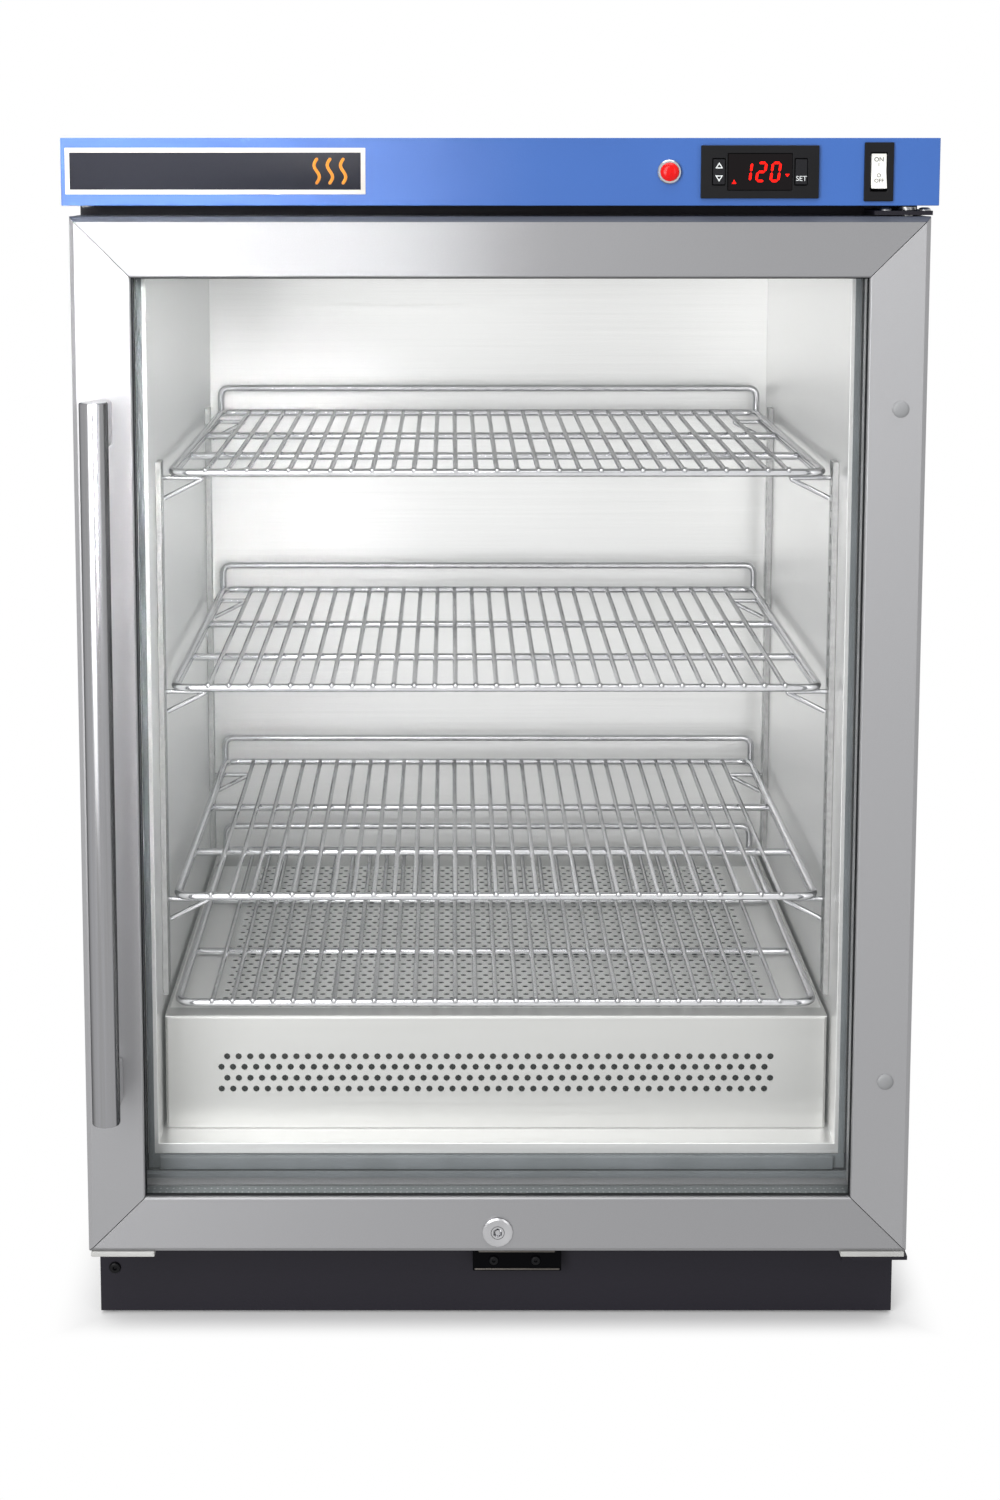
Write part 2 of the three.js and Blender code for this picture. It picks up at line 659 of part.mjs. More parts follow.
/** A wire shelf at height 0: rim rods, cross rods, a raised back rail and the wires over them. */
function wireShelf(name, height) {
  const half = SHELF_HALF_WIDTH;
  const bar = (from, to) => rod(from, to, SHELF_ROD_RADIUS, ROD_SIDES);
  const across = (reach, depth, z) => bar([-reach, depth, z], [reach, depth, z]);
  const side = (x) => bar([x, SHELF_FRONT - SHELF_ROD_RADIUS, 0], [x, SHELF_BACK + SHELF_ROD_RADIUS, 0]);
  const stopPost = (x) => bar([x, SHELF_BACK, 0], [x, SHELF_BACK, BACK_STOP_RISE]);
  const wire = (x) => rod([x, SHELF_FRONT, WIRE_RISE], [x, SHELF_BACK, WIRE_RISE], WIRE_RADIUS, WIRE_SIDES);
  const rods = [across(half, SHELF_FRONT, 0), across(half, SHELF_BACK, 0), side(-half), side(half)];
  rods.push(...CROSS_ROD_DEPTHS.map((depth) => across(CROSS_ROD_HALF, depth, -CROSS_ROD_DROP)));
  rods.push(stopPost(-half), stopPost(half), across(half, SHELF_BACK, BACK_STOP_RISE));
  const firstWire = (-WIRE_PITCH * (WIRE_COUNT - 1)) / 2;
  const wires = Array.from({ length: WIRE_COUNT }, (_, i) => wire(firstWire + i * WIRE_PITCH));
  const mesh = piece(name, join([...rods, ...wires]), 'chrome');
  mesh.position.z = height;
  return mesh;
}

function heaterCover() {
  const half = COVER_HALF_WIDTH;
  const bottom = LINER_FLOOR + GAP;
  const back = LINER_BACK - GAP;
  const shell = box([-half, COVER_FRONT, bottom], [half, back, COVER_TOP]);
  const under = box(
    [-half + COVER_SHEET, COVER_FRONT + COVER_SHEET, bottom - PAST],
    [half - COVER_SHEET, back + PAST, COVER_TOP - COVER_SHEET],
  );
  const holes = COVER_HOLE_ROWS.flatMap((z, row) => {
    const stagger = (row % 2 ? 1 : -1) * (COVER_HOLE_PITCH / 4);
    const first = stagger - (COVER_HOLE_PITCH * (COVER_HOLE_COUNT - 1)) / 2;
    return Array.from({ length: COVER_HOLE_COUNT }, (_, i) => {
      const x = first + i * COVER_HOLE_PITCH;
      const [from, to] = [COVER_FRONT - PAST, COVER_FRONT + COVER_SHEET + PAST];
      return rod([x, from, z], [x, to, z], COVER_HOLE_RADIUS, WIRE_SIDES);
    });
  });
  return piece('heater_cover', cut(shell.subtract(under), holes), 'brightSteel');
}

/** A tubular element: three passes across the cabinet, with both ends in the back wall. */
function heatingElement() {
  const back = LINER_BACK - GAP;
  const [first, second, third] = ELEMENT_PASSES;
  const [outer, inner] = [ELEMENT_OUTER, ELEMENT_INNER];
  const corners = [
    [-outer, back], [-outer, first], [outer, first], [outer, second],
    [-inner, second], [-inner, third], [inner, third], [inner, back],
  ];
  const points = corners.map(([x, y]) => new THREE.Vector3(x, y, ELEMENT_HEIGHT));
  const path = new THREE.CurvePath();
  let from = points[0];
  for (let i = 1; i < points.length - 1; i++) {
    const corner = points[i];
    const before = corner.clone().sub(points[i - 1]).normalize().multiplyScalar(-ELEMENT_BEND).add(corner);
    const after = points[i + 1].clone().sub(corner).normalize().multiplyScalar(ELEMENT_BEND).add(corner);
    path.add(new THREE.LineCurve3(from, before));
    path.add(new THREE.QuadraticBezierCurve3(before, corner, after));
    from = after;
  }
  path.add(new THREE.LineCurve3(from, points.at(-1)));
  const section = new THREE.Shape(Array.from({ length: ELEMENT_SIDES }, (_, i) => {
    const turn = (i * 2 * Math.PI) / ELEMENT_SIDES;
    return new THREE.Vector2(ELEMENT_RADIUS * Math.cos(turn), ELEMENT_RADIUS * Math.sin(turn));
  }));
  const along = { steps: ELEMENT_STEPS, extrudePath: path, bevelEnabled: false };
  const geometry = new THREE.ExtrudeGeometry(section, along);
  return piece('heating_element', solidOf(geometry), 'satinSteel');
}

function fanPieces() {
  const half = FAN_SIZE / 2;
  const back = FAN_FRONT + FAN_DEPTH;
  const block = box([-half, FAN_FRONT, FAN_HEIGHT - half], [half, back, FAN_HEIGHT + half]);
  const throat = rod([0, FAN_FRONT - PAST, FAN_HEIGHT], [0, back + PAST, FAN_HEIGHT], half - FAN_RIM);
  const motor = rod([0, back - FAN_MOTOR_DEPTH, FAN_HEIGHT], [0, back, FAN_HEIGHT], FAN_MOTOR_RADIUS);
  const [strutDepth, strutHeight] = FAN_STRUT;
  const strut = box(
    [-half + PAST, back - strutDepth, FAN_HEIGHT - strutHeight / 2],
    [half - PAST, back, FAN_HEIGHT + strutHeight / 2],
  );
  const stand = box([-half, FAN_FRONT, LINER_FLOOR + GAP], [half, back, FAN_HEIGHT - half + PAST]);
  const frame = join([block.subtract(throat), motor, strut, stand]);
  const rotorBack = back - FAN_MOTOR_DEPTH - GAP;
  const hub = rod([0, FAN_FRONT + FAN_HUB_INSET, 0], [0, rotorBack, 0], FAN_HUB_RADIUS);
  const [bladeReach, bladeDepth] = FAN_BLADE_PLACE;
  const blades = Array.from({ length: FAN_BLADES }, (_, i) => {
    const blade = new THREE.BoxGeometry(...FAN_BLADE);
    blade.rotateX(THREE.MathUtils.degToRad(FAN_BLADE_PITCH_DEG));
    blade.translate(bladeReach, FAN_FRONT + bladeDepth, 0);
    blade.rotateY((i * 2 * Math.PI) / FAN_BLADES);
    return solidOf(blade);
  });
  const rotor = piece('fan_rotor', join([hub, ...blades]), 'blackPlastic');
  rotor.position.z = FAN_HEIGHT;
  return [piece('fan_frame', frame, 'blackPlastic'), rotor];
}

function tempProbe() {
  const [flange, rise] = PROBE_FLANGE;
  const probe = turned([
    [0, 0], [flange, 0], [flange, rise], [PROBE_RADIUS, rise],
    [PROBE_RADIUS, PROBE_LENGTH - PROBE_TIP], [0, PROBE_LENGTH],
  ], SMALL_SIDES);
  const mesh = piece('temp_probe', probe, 'satinSteel');
  mesh.rotation.x = Math.PI / 2;
  mesh.position.set(PROBE_X, LINER_BACK - GAP, LINER_CEILING - PROBE_DROP);
  return mesh;
}

// Door

/** A frame member with mitred ends. Locally X runs in from the outer edge, Y back, and Z along it. */
function mitredMember(length) {
  const groove = MEMBER_WIDTH - GLASS_GROOVE_DEPTH;
  const grooveBack = GLASS_FRONT + 2 * PANE_THICKNESS + SPACER_THICKNESS + 3 * GAP;
  const bead = MEMBER_WIDTH - EDGE_BEVEL;
  const section = [
    [0, EDGE_BEVEL], [EDGE_BEVEL, 0], [MEMBER_WIDTH - INNER_BEVEL, 0], [MEMBER_WIDTH, INNER_BEVEL],
    [MEMBER_WIDTH, GLASS_FRONT - GAP], [groove, GLASS_FRONT - GAP], [groove, grooveBack],
    [bead, grooveBack], [bead, DOOR_THICKNESS], [0, DOOR_THICKNESS],
  ];
  const shape = new THREE.Shape(section.map(([u, v]) => new THREE.Vector2(u, v)));
  const geometry = new THREE.ExtrudeGeometry(shape, { depth: length, bevelEnabled: false });
  const place = geometry.attributes.position;
  for (let i = 0; i < place.count; i++) {
    const inset = place.getX(i) + GAP;
    place.setZ(i, place.getZ(i) > length / 2 ? length - inset : inset);
  }
  return solidOf(geometry);
}

function doorFrame() {
  const width = 2 * DOOR_HALF_WIDTH;
  const height = DOOR_TOP - DOOR_BOTTOM;
  const fromRight = DOOR_HALF_WIDTH - HINGE_X;
  const boreEnd = HINGE_PIN_DEPTH + GAP;
  const bore = (along) => rod([-PAST, HINGE_Y, along], [boreEnd, HINGE_Y, along], HINGE_BORE_RADIUS);
  const lockUp = LOCK_Z - DOOR_BOTTOM;
  const lockBore = rod(
    [lockUp, -PAST, DOOR_HALF_WIDTH], [lockUp, DOOR_THICKNESS + PAST, DOOR_HALF_WIDTH],
    LOCK_BODY_RADIUS + LOCK_HOLE_CLEARANCE,
  );
  const handleStile = piece('handle_stile', mitredMember(height), 'satinSteel');
  handleStile.position.set(-DOOR_HALF_WIDTH, 0, DOOR_BOTTOM);
  const hingeStile = piece('hinge_stile', mitredMember(height), 'satinSteel');
  hingeStile.rotation.y = Math.PI;
  hingeStile.position.set(DOOR_HALF_WIDTH, 0, DOOR_TOP);
  const topRail = piece('top_rail', mitredMember(width).subtract(bore(width - fromRight)), 'satinSteel');
  topRail.rotation.y = Math.PI / 2;
  topRail.position.set(-DOOR_HALF_WIDTH, 0, DOOR_TOP);
  const bottomSolid = cut(mitredMember(width), [bore(fromRight), lockBore]);
  const bottomRail = piece('bottom_rail', bottomSolid, 'satinSteel');
  bottomRail.rotation.y = -Math.PI / 2;
  bottomRail.position.set(DOOR_HALF_WIDTH, 0, DOOR_BOTTOM);
  return [handleStile, hingeStile, topRail, bottomRail];
}

/** A rectangular ring in the door's plane, from its outer edges, its width and its two faces. */
function doorRing(halfWidth, bottom, top, width, front, back) {
  const outer = box([-halfWidth, front, bottom], [halfWidth, back, top]);
  const inner = box(
    [-halfWidth + width, front - PAST, bottom + width], [halfWidth - width, back + PAST, top - width],
  );
  return outer.subtract(inner);
}

function glazing() {
  const half = DOOR_HALF_WIDTH - GLASS_EDGE;
  const bottom = DOOR_BOTTOM + GLASS_EDGE;
  const top = DOOR_TOP - GLASS_EDGE;
  const pane = (front) => box([-half, front, bottom], [half, front + PANE_THICKNESS, top]);
  const spacerFront = GLASS_FRONT + PANE_THICKNESS + GAP;
  const spacerBack = spacerFront + SPACER_THICKNESS - GAP;
  return [
    piece('glass_outer', pane(GLASS_FRONT), 'glass'),
    piece('glass_spacer', doorRing(half, bottom, top, SPACER_WIDTH, spacerFront, spacerBack), 'satinSteel'),
    piece('glass_inner', pane(spacerBack + GAP), 'glass'),
  ];
}

function doorGasket() {
  const ring = doorRing(
    GASKET_HALF_WIDTH, GASKET_BOTTOM, GASKET_TOP, GASKET_WIDTH, DOOR_THICKNESS + GAP, FRONT_PLANE - GAP,
  );
  return piece('door_gasket', ring, 'greyRubber');
}

function handle() {
  const bar = rod([HANDLE_X, HANDLE_Y, HANDLE_BOTTOM], [HANDLE_X, HANDLE_Y, HANDLE_TOP], HANDLE_RADIUS);
  const post = (name, z) => {
    const half = [POST_WIDTH / 2, POST_HEIGHT / 2];
    const front = HANDLE_Y + HANDLE_RADIUS + GAP;
    const block = box([HANDLE_X - half[0], front, z - half[1]], [HANDLE_X + half[0], -GAP, z + half[1]]);
    return piece(name, block, 'satinSteel');
  };
  return [
    piece('handle_bar', bar, 'satinSteel'),
    post('handle_post_upper', HANDLE_TOP - POST_INSET),
    post('handle_post_lower', HANDLE_BOTTOM + POST_INSET),
  ];
}

function doorPad(name, sign) {
  const bottom = DOOR_BOTTOM - GAP - PAD_HEIGHT;
  const pad = box(
    [Math.min(sign * PAD_INNER, sign * PAD_OUTER), PAD_INSET, bottom],
    [Math.max(sign * PAD_INNER, sign * PAD_OUTER), DOOR_THICKNESS - PAD_INSET, bottom + PAD_HEIGHT],
  );
  const bore = rod(
    [HINGE_X, HINGE_Y, bottom - PAST], [HINGE_X, HINGE_Y, bottom + PAD_HEIGHT + PAST], HINGE_BORE_RADIUS,
  );
  return piece(name, sign > 0 ? pad.subtract(bore) : pad, 'greyPlastic');
}

function lockPieces() {
  const bore = LOCK_BARREL_RADIUS + LOCK_BORE_CLEARANCE;
  const back = -DOOR_THICKNESS - LOCK_TAIL;
  const [rimIn, rimDown] = LOCK_RIM_EASE;
  const housing = turned([
    [0, back], [LOCK_BODY_RADIUS, back], [LOCK_BODY_RADIUS, GAP],
    [LOCK_FLANGE_RADIUS, GAP], [LOCK_FLANGE_RADIUS, LOCK_FACE - rimDown],
    [LOCK_FLANGE_RADIUS - rimIn, LOCK_FACE], [0, LOCK_FACE],
  ]).subtract(rod([0, 0, back - PAST], [0, 0, LOCK_FACE + PAST], bore));
  const floor = LOCK_FACE - KEYWAY_DEPTH;
  const keyway = rod([0, 0, floor], [0, 0, LOCK_FACE + PAST], KEYWAY_RADIUS, KEYWAY_SIDES);
  const post = rod([0, 0, floor - PAST], [0, 0, LOCK_FACE - KEYWAY_POST_DROP], KEYWAY_POST_RADIUS);
  const core = rod([0, 0, -CAM_FRONT + GAP], [0, 0, LOCK_FACE], LOCK_BARREL_RADIUS);
  const barrel = core.subtract(keyway).add(post);
  const half = CAM_WIDTH / 2;
  const cam = box([-half, CAM_FRONT, LOCK_Z - half], [CAM_LENGTH, CAM_FRONT + CAM_THICKNESS, LOCK_Z + half]);
  return [
    facingFront(piece('lock_housing', housing, 'chrome'), 0, LOCK_Z),
    facingFront(piece('lock_barrel', barrel, 'chrome'), 0, LOCK_Z),
    piece('lock_cam', cam, 'satinSteel'),
  ];
}

const SIDES = { left: -1, right: 1 };

const cabinet = new THREE.Group();
cabinet.add(outerWrapper(), backPanel(), basePan(), kickPlate(), innerLiner(), insulationFoam());
cabinet.add(topCap(), ...pilotLamp(), ...controllerPieces(), ...rockerSwitch(), powerInlet());
cabinet.add(...hinges(), lockStrike());
for (const [side, sign] of Object.entries(SIDES)) {
  for (const [end, depth] of Object.entries(FOOT_DEPTHS)) {
    cabinet.add(foot(`foot_${end}_${side}`, sign * FOOT_X, depth));
  }
  for (const [end, depth] of Object.entries(STANDARD_DEPTHS)) {
    cabinet.add(shelfStandard(`shelf_standard_${end}_${side}`, sign, depth));
  }
  for (const [shelf, height] of Object.entries(SHELF_HEIGHTS)) {
    cabinet.add(shelfBracket(`${shelf}_bracket_${side}`, sign, height));
  }
}
for (const [shelf, height] of Object.entries(SHELF_HEIGHTS)) {
  cabinet.add(wireShelf(shelf, height));
}
cabinet.add(wireShelf('floor_rack', RACK_HEIGHT));
cabinet.add(heaterCover(), heatingElement(), ...fanPieces(), tempProbe());

const door = new THREE.Group();
door.add(...doorFrame(), ...glazing(), doorGasket(), ...handle(), ...lockPieces());
for (const [side, sign] of Object.entries(SIDES)) {
  door.add(doorPad(`door_pad_${side}`, sign));
}

const warmingCabinet = new THREE.Group();
warmingCabinet.add(cabinet, door);
warmingCabinet.position.y = -CENTRE_DEPTH;

export default warmingCabinet;
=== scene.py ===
"""Looks of the blanket warming cabinet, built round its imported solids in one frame."""

from __future__ import annotations

import json
import logging
import math
from collections.abc import Callable
from dataclasses import dataclass, field
from enum import Enum
from typing import ClassVar

import bmesh
import bpy
from mathutils import Matrix, Vector

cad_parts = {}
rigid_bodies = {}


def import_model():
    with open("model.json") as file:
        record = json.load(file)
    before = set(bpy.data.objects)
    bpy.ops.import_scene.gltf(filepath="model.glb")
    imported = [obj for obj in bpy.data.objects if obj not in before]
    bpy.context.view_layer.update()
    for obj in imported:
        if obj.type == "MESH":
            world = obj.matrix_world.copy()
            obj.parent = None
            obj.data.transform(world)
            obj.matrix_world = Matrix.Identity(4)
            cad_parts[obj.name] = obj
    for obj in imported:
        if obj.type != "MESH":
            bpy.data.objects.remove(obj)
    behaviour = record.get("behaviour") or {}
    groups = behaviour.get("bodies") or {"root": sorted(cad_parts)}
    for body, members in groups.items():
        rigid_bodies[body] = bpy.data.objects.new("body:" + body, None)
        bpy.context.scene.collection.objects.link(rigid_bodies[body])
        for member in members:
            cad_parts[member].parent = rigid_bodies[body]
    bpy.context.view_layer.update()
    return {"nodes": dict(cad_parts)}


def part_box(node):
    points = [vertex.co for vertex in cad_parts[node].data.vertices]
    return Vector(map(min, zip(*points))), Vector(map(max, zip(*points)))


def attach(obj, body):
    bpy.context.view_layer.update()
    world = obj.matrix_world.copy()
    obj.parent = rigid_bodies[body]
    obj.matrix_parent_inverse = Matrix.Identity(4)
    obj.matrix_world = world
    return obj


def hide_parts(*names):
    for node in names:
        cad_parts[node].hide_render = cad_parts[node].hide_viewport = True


LOG = logging.getLogger("warming_cabinet")
MM = 0.001
DOOR_FRONT_MM = 254.75

Rgb = tuple[int, int, int]
Pair = tuple[float, float]
Triple = tuple[float, float, float]


# Places and colours


def spot(x: float, depth: float, z: float) -> Vector:
    """A place in the row frame, from millimetres and a depth behind the door's front face.

    Args:
        x: millimetres to the right of the middle.
        depth: millimetres behind the door's front face.
        z: millimetres above the floor.

    Returns:
        The place in metres.
    """
    return Vector((x, depth - DOOR_FRONT_MM, z)) * MM


def linear(color: Rgb) -> tuple[float, float, float, float]:
    """A colour as it is seen, in the linear values that a shader takes.

    Args:
        color: red, green and blue from 0 to 255.

    Returns:
        Linear red, green, blue and an alpha of 1.
    """

    def channel(value: int) -> float:
        """One channel, from its display value."""
        part = value / 255
        return part / 12.92 if part <= 0.04045 else ((part + 0.055) / 1.055) ** 2.4

    red, green, blue = (channel(value) for value in color)
    return red, green, blue, 1.0


# Shaders


class Grain(Enum):
    """Which way a metal was brushed, as noise scales along X, Y and Z."""

    ACROSS = (4.0, 700.0, 700.0)
    UPRIGHT = (700.0, 700.0, 4.0)
    NONE = (260.0, 260.0, 260.0)
    SATIN = (1700.0, 1700.0, 1700.0)


class ShaderSheet:
    """The nodes of one material, with short ways to add and wire them."""

    WEAK = 0.3
    STRONG = 0.7

    def __init__(self, name: str) -> None:
        """Starts a material with its principled shader.

        Args:
            name: the material's name.
        """
        self.material = bpy.data.materials.new(name)
        self.material.use_nodes = True
        self.tree = self.material.node_tree
        self.shader = self.tree.nodes["Principled BSDF"]
        self.place = self.tree.nodes.new("ShaderNodeTexCoord")

    def set(self, **values: object) -> None:
        """Sets constant values on the shader's own sockets.

        Args:
            values: socket names, with _ for a space, and their values.
        """
        for name, value in values.items():
            self.shader.inputs[name.replace("_", " ")].default_value = value

    def wire(self, source: bpy.types.NodeSocket, target: str) -> None:
        """Wires a socket into one of the shader's inputs."""
        self.tree.links.new(source, self.shader.inputs[target])

    def noise(self, scales: Triple, detail: float = 3.0) -> bpy.types.NodeSocket:
        """A noise field that lies still on the piece.

        Args:
            scales: features in a metre along X, Y and Z.
            detail: how many finer layers it has.

        Returns:
            The noise's value socket.
        """
        mapping = self.tree.nodes.new("ShaderNodeMapping")
        mapping.inputs["Scale"].default_value = scales
        texture = self.tree.nodes.new("ShaderNodeTexNoise")
        texture.inputs["Scale"].default_value = 1.0
        texture.inputs["Detail"].default_value = detail
        self.tree.links.new(self.place.outputs["Object"], mapping.inputs["Vector"])
        self.tree.links.new(mapping.outputs["Vector"], texture.inputs["Vector"])
        return texture.outputs["Fac"]

    def range(self, source: bpy.types.NodeSocket, low: float, high: float) -> bpy.types.NodeSocket:
        """Spreads the middle of a noise field between two values.

        Args:
            source: the field.
            low: the value where the field is weak.
            high: the value where it is strong.

        Returns:
            The spread value's socket.
        """
        node = self.tree.nodes.new("ShaderNodeMapRange")
        node.inputs["From Min"].default_value = self.WEAK
        node.inputs["From Max"].default_value = self.STRONG
        node.inputs["To Min"].default_value = low
        node.inputs["To Max"].default_value = high
        self.tree.links.new(source, node.inputs["Value"])
        return node.outputs["Result"]

    def tint(self, source: bpy.types.NodeSocket, dark: Rgb, light: Rgb) -> bpy.types.NodeSocket:
        """A colour that runs between two as a field goes from weak to strong.

        Args:
            source: the field.
            dark: the colour where it is weak.
            light: the colour where it is strong.

        Returns:
            The colour's socket.
        """
        ramp = self.tree.nodes.new("ShaderNodeValToRGB")
        low, high = ramp.color_ramp.elements
        low.position, low.color = self.WEAK, linear(dark)
        high.position, high.color = self.STRONG, linear(light)
        self.tree.links.new(source, ramp.inputs["Fac"])
        return ramp.outputs["Color"]

    def bump(self, source: bpy.types.NodeSocket, height: float, strength: float) -> None:
        """Raises the surface by a field.

        Args:
            source: the field.
            height: metres from its weakest to its strongest.
            strength: how much of it shows.
        """
        node = self.tree.nodes.new("ShaderNodeBump")
        node.inputs["Strength"].default_value = strength
        node.inputs["Distance"].default_value = height
        self.tree.links.new(source, node.inputs["Height"])
        self.wire(node.outputs["Normal"], "Normal")

    def stretch(self, axis: str, amount: float) -> None:
        """Draws highlights out round an axis, as on metal with fine lines along that axis.

        Args:
            axis: X or Z, the way the lines run.
            amount: how far highlights are drawn out, up to 1.
        """
        node = self.tree.nodes.new("ShaderNodeTangent")
        node.direction_type = "RADIAL"
        node.axis = axis
        self.wire(node.outputs["Tangent"], "Tangent")
        self.set(Anisotropic=amount)


def shade(color: Rgb, part: float) -> Rgb:
    """A colour made lighter or darker by a part of itself."""
    red, green, blue = (max(0, min(255, round(value * part))) for value in color)
    return red, green, blue


@dataclass(frozen=True)
class Enamel:
    """Sprayed and baked paint with a fine orange-peel surface."""

    name: str
    color: Rgb
    roughness: float
    peel: float = 0.25
    gloss: float = 0.4
    CLOUDS: ClassVar[Triple] = (3.0, 3.0, 3.0)
    TONES: ClassVar[Pair] = (0.95, 1.04)
    POLISH: ClassVar[Pair] = (-0.04, 0.05)
    PEEL: ClassVar[Triple] = (900.0, 900.0, 900.0)
    PEEL_HEIGHT: ClassVar[float] = 0.0002

    def make(self) -> bpy.types.Material:
        """Makes the paint's material."""
        sheet = ShaderSheet(self.name)
        cloud = sheet.noise(self.CLOUDS)
        sheet.wire(sheet.tint(cloud, *(shade(self.color, tone) for tone in self.TONES)), "Base Color")
        sheet.wire(sheet.range(cloud, *(self.roughness + step for step in self.POLISH)), "Roughness")
        sheet.bump(sheet.noise(self.PEEL, 1.0), self.PEEL_HEIGHT, self.peel)
        sheet.set(Specular_IOR_Level=self.gloss)
        return sheet.material


@dataclass(frozen=True)
class BrushedMetal:
    """Metal with fine lines along the way it was brushed."""

    name: str
    color: Rgb
    roughness: float
    grain: Grain = Grain.NONE
    contrast: float = 0.05
    sheen_axis: str = ""
    metallic: float = 1.0
    rim: float = 1.0
    POLISH: ClassVar[Pair] = (-0.05, 0.07)
    LINE_HEIGHT: ClassVar[float] = 0.00004
    LINE_STRENGTH: ClassVar[float] = 0.25
    STRETCH: ClassVar[float] = 0.6

    def make(self) -> bpy.types.Material:
        """Makes the metal's material."""
        sheet = ShaderSheet(self.name)
        lines = sheet.noise(self.grain.value, 4.0)
        dark, light = shade(self.color, 1 - self.contrast), shade(self.color, 1 + self.contrast)
        sheet.wire(sheet.tint(lines, dark, light), "Base Color")
        sheet.wire(sheet.range(lines, *(self.roughness + step for step in self.POLISH)), "Roughness")
        sheet.bump(lines, self.LINE_HEIGHT, self.LINE_STRENGTH)
        sheet.set(Metallic=self.metallic, Specular_Tint=(self.rim, self.rim, self.rim, 1.0))
        if self.sheen_axis:
            sheet.stretch(self.sheen_axis, self.STRETCH)
        return sheet.material


@dataclass(frozen=True)
class Plated:
    """Bright plating, a little cloudy where it has been handled."""

    name: str
    color: Rgb
    roughness: float
    rim: float = 1.0
    CLOUDS: ClassVar[Triple] = (40.0, 40.0, 40.0)
    DARK: ClassVar[float] = 0.94
    HANDLED: ClassVar[float] = 0.1

    def make(self) -> bpy.types.Material:
        """Makes the plating's material."""
        sheet = ShaderSheet(self.name)
        cloud = sheet.noise(self.CLOUDS, 4.0)
        sheet.wire(sheet.tint(cloud, shade(self.color, self.DARK), self.color), "Base Color")
        sheet.wire(sheet.range(cloud, self.roughness, self.roughness + self.HANDLED), "Roughness")
        sheet.set(Metallic=1.0, Specular_Tint=(self.rim, self.rim, self.rim, 1.0))
        return sheet.material


@dataclass(frozen=True)
class Moulded:
    """Moulded plastic or rubber with a fine textured skin."""

    name: str
    color: Rgb
    roughness: float
    texture: float = 0.3
    gloss: float = 0.4
    CLOUDS: ClassVar[Triple] = (25.0, 25.0, 25.0)
    TONES: ClassVar[Pair] = (0.92, 1.05)
    POLISH: ClassVar[Pair] = (-0.06, 0.06)
    SKIN: ClassVar[Triple] = (2200.0, 2200.0, 2200.0)
    SKIN_HEIGHT: ClassVar[float] = 0.0001

    def make(self) -> bpy.types.Material:
        """Makes the moulding's material."""
        sheet = ShaderSheet(self.name)
        cloud = sheet.noise(self.CLOUDS, 3.0)
        sheet.wire(sheet.tint(cloud, *(shade(self.color, tone) for tone in self.TONES)), "Base Color")
        sheet.wire(sheet.range(cloud, *(self.roughness + step for step in self.POLISH)), "Roughness")
        sheet.bump(sheet.noise(self.SKIN, 2.0), self.SKIN_HEIGHT, self.texture)
        sheet.set(Specular_IOR_Level=self.gloss)
        return sheet.material


@dataclass(frozen=True)
class Pane:
    """Clear float glass with a faint film."""

    name: str
    color: Rgb
    alpha: float
    FILM: ClassVar[Triple] = (6.0, 6.0, 6.0)
    POLISH: ClassVar[Pair] = (0.02, 0.08)
    DARK: ClassVar[float] = 0.96
    GLOSS: ClassVar[float] = 0.5

    def make(self) -> bpy.types.Material:
        """Makes the glass's material."""
        sheet = ShaderSheet(self.name)
        film = sheet.noise(self.FILM, 5.0)
        sheet.wire(sheet.range(film, *self.POLISH), "Roughness")
        sheet.wire(sheet.tint(film, shade(self.color, self.DARK), self.color), "Base Color")
        sheet.set(Alpha=self.alpha, Specular_IOR_Level=self.GLOSS)
        return sheet.material


@dataclass(frozen=True)
class Lit:
    """A lit mark or lens that glows in its own colour."""

    name: str
    color: Rgb
    glow: float
    roughness: float = 0.2
    gloss: float = 0.1
    SPECKS: ClassVar[Triple] = (900.0, 900.0, 900.0)
    DARK: ClassVar[float] = 0.9

    def make(self) -> bpy.types.Material:
        """Makes the lit material."""
        sheet = ShaderSheet(self.name)
        specks = sheet.noise(self.SPECKS, 2.0)
        sheet.wire(sheet.tint(specks, shade(self.color, self.DARK), self.color), "Base Color")
        sheet.set(Roughness=self.roughness, Specular_IOR_Level=self.gloss)
        sheet.set(Emission_Color=linear(self.color), Emission_Strength=self.glow)
        return sheet.material


@dataclass(frozen=True)
class Wool:
    """Loose insulation with a rough, open surface."""

    name: str
    color: Rgb
    FIBRES: ClassVar[Triple] = (300.0, 300.0, 300.0)
    DARK: ClassVar[float] = 0.8
    FIBRE_HEIGHT: ClassVar[float] = 0.001
    FIBRE_STRENGTH: ClassVar[float] = 0.5
    ROUGHNESS: ClassVar[float] = 0.95

    def make(self) -> bpy.types.Material:
        """Makes the insulation's material."""
        sheet = ShaderSheet(self.name)
        fibre = sheet.noise(self.FIBRES, 6.0)
        sheet.wire(sheet.tint(fibre, shade(self.color, self.DARK), self.color), "Base Color")
        sheet.bump(fibre, self.FIBRE_HEIGHT, self.FIBRE_STRENGTH)
        sheet.set(Roughness=self.ROUGHNESS)
        return sheet.material


Finish = Enamel | BrushedMetal | Plated | Moulded | Pane | Lit | Wool


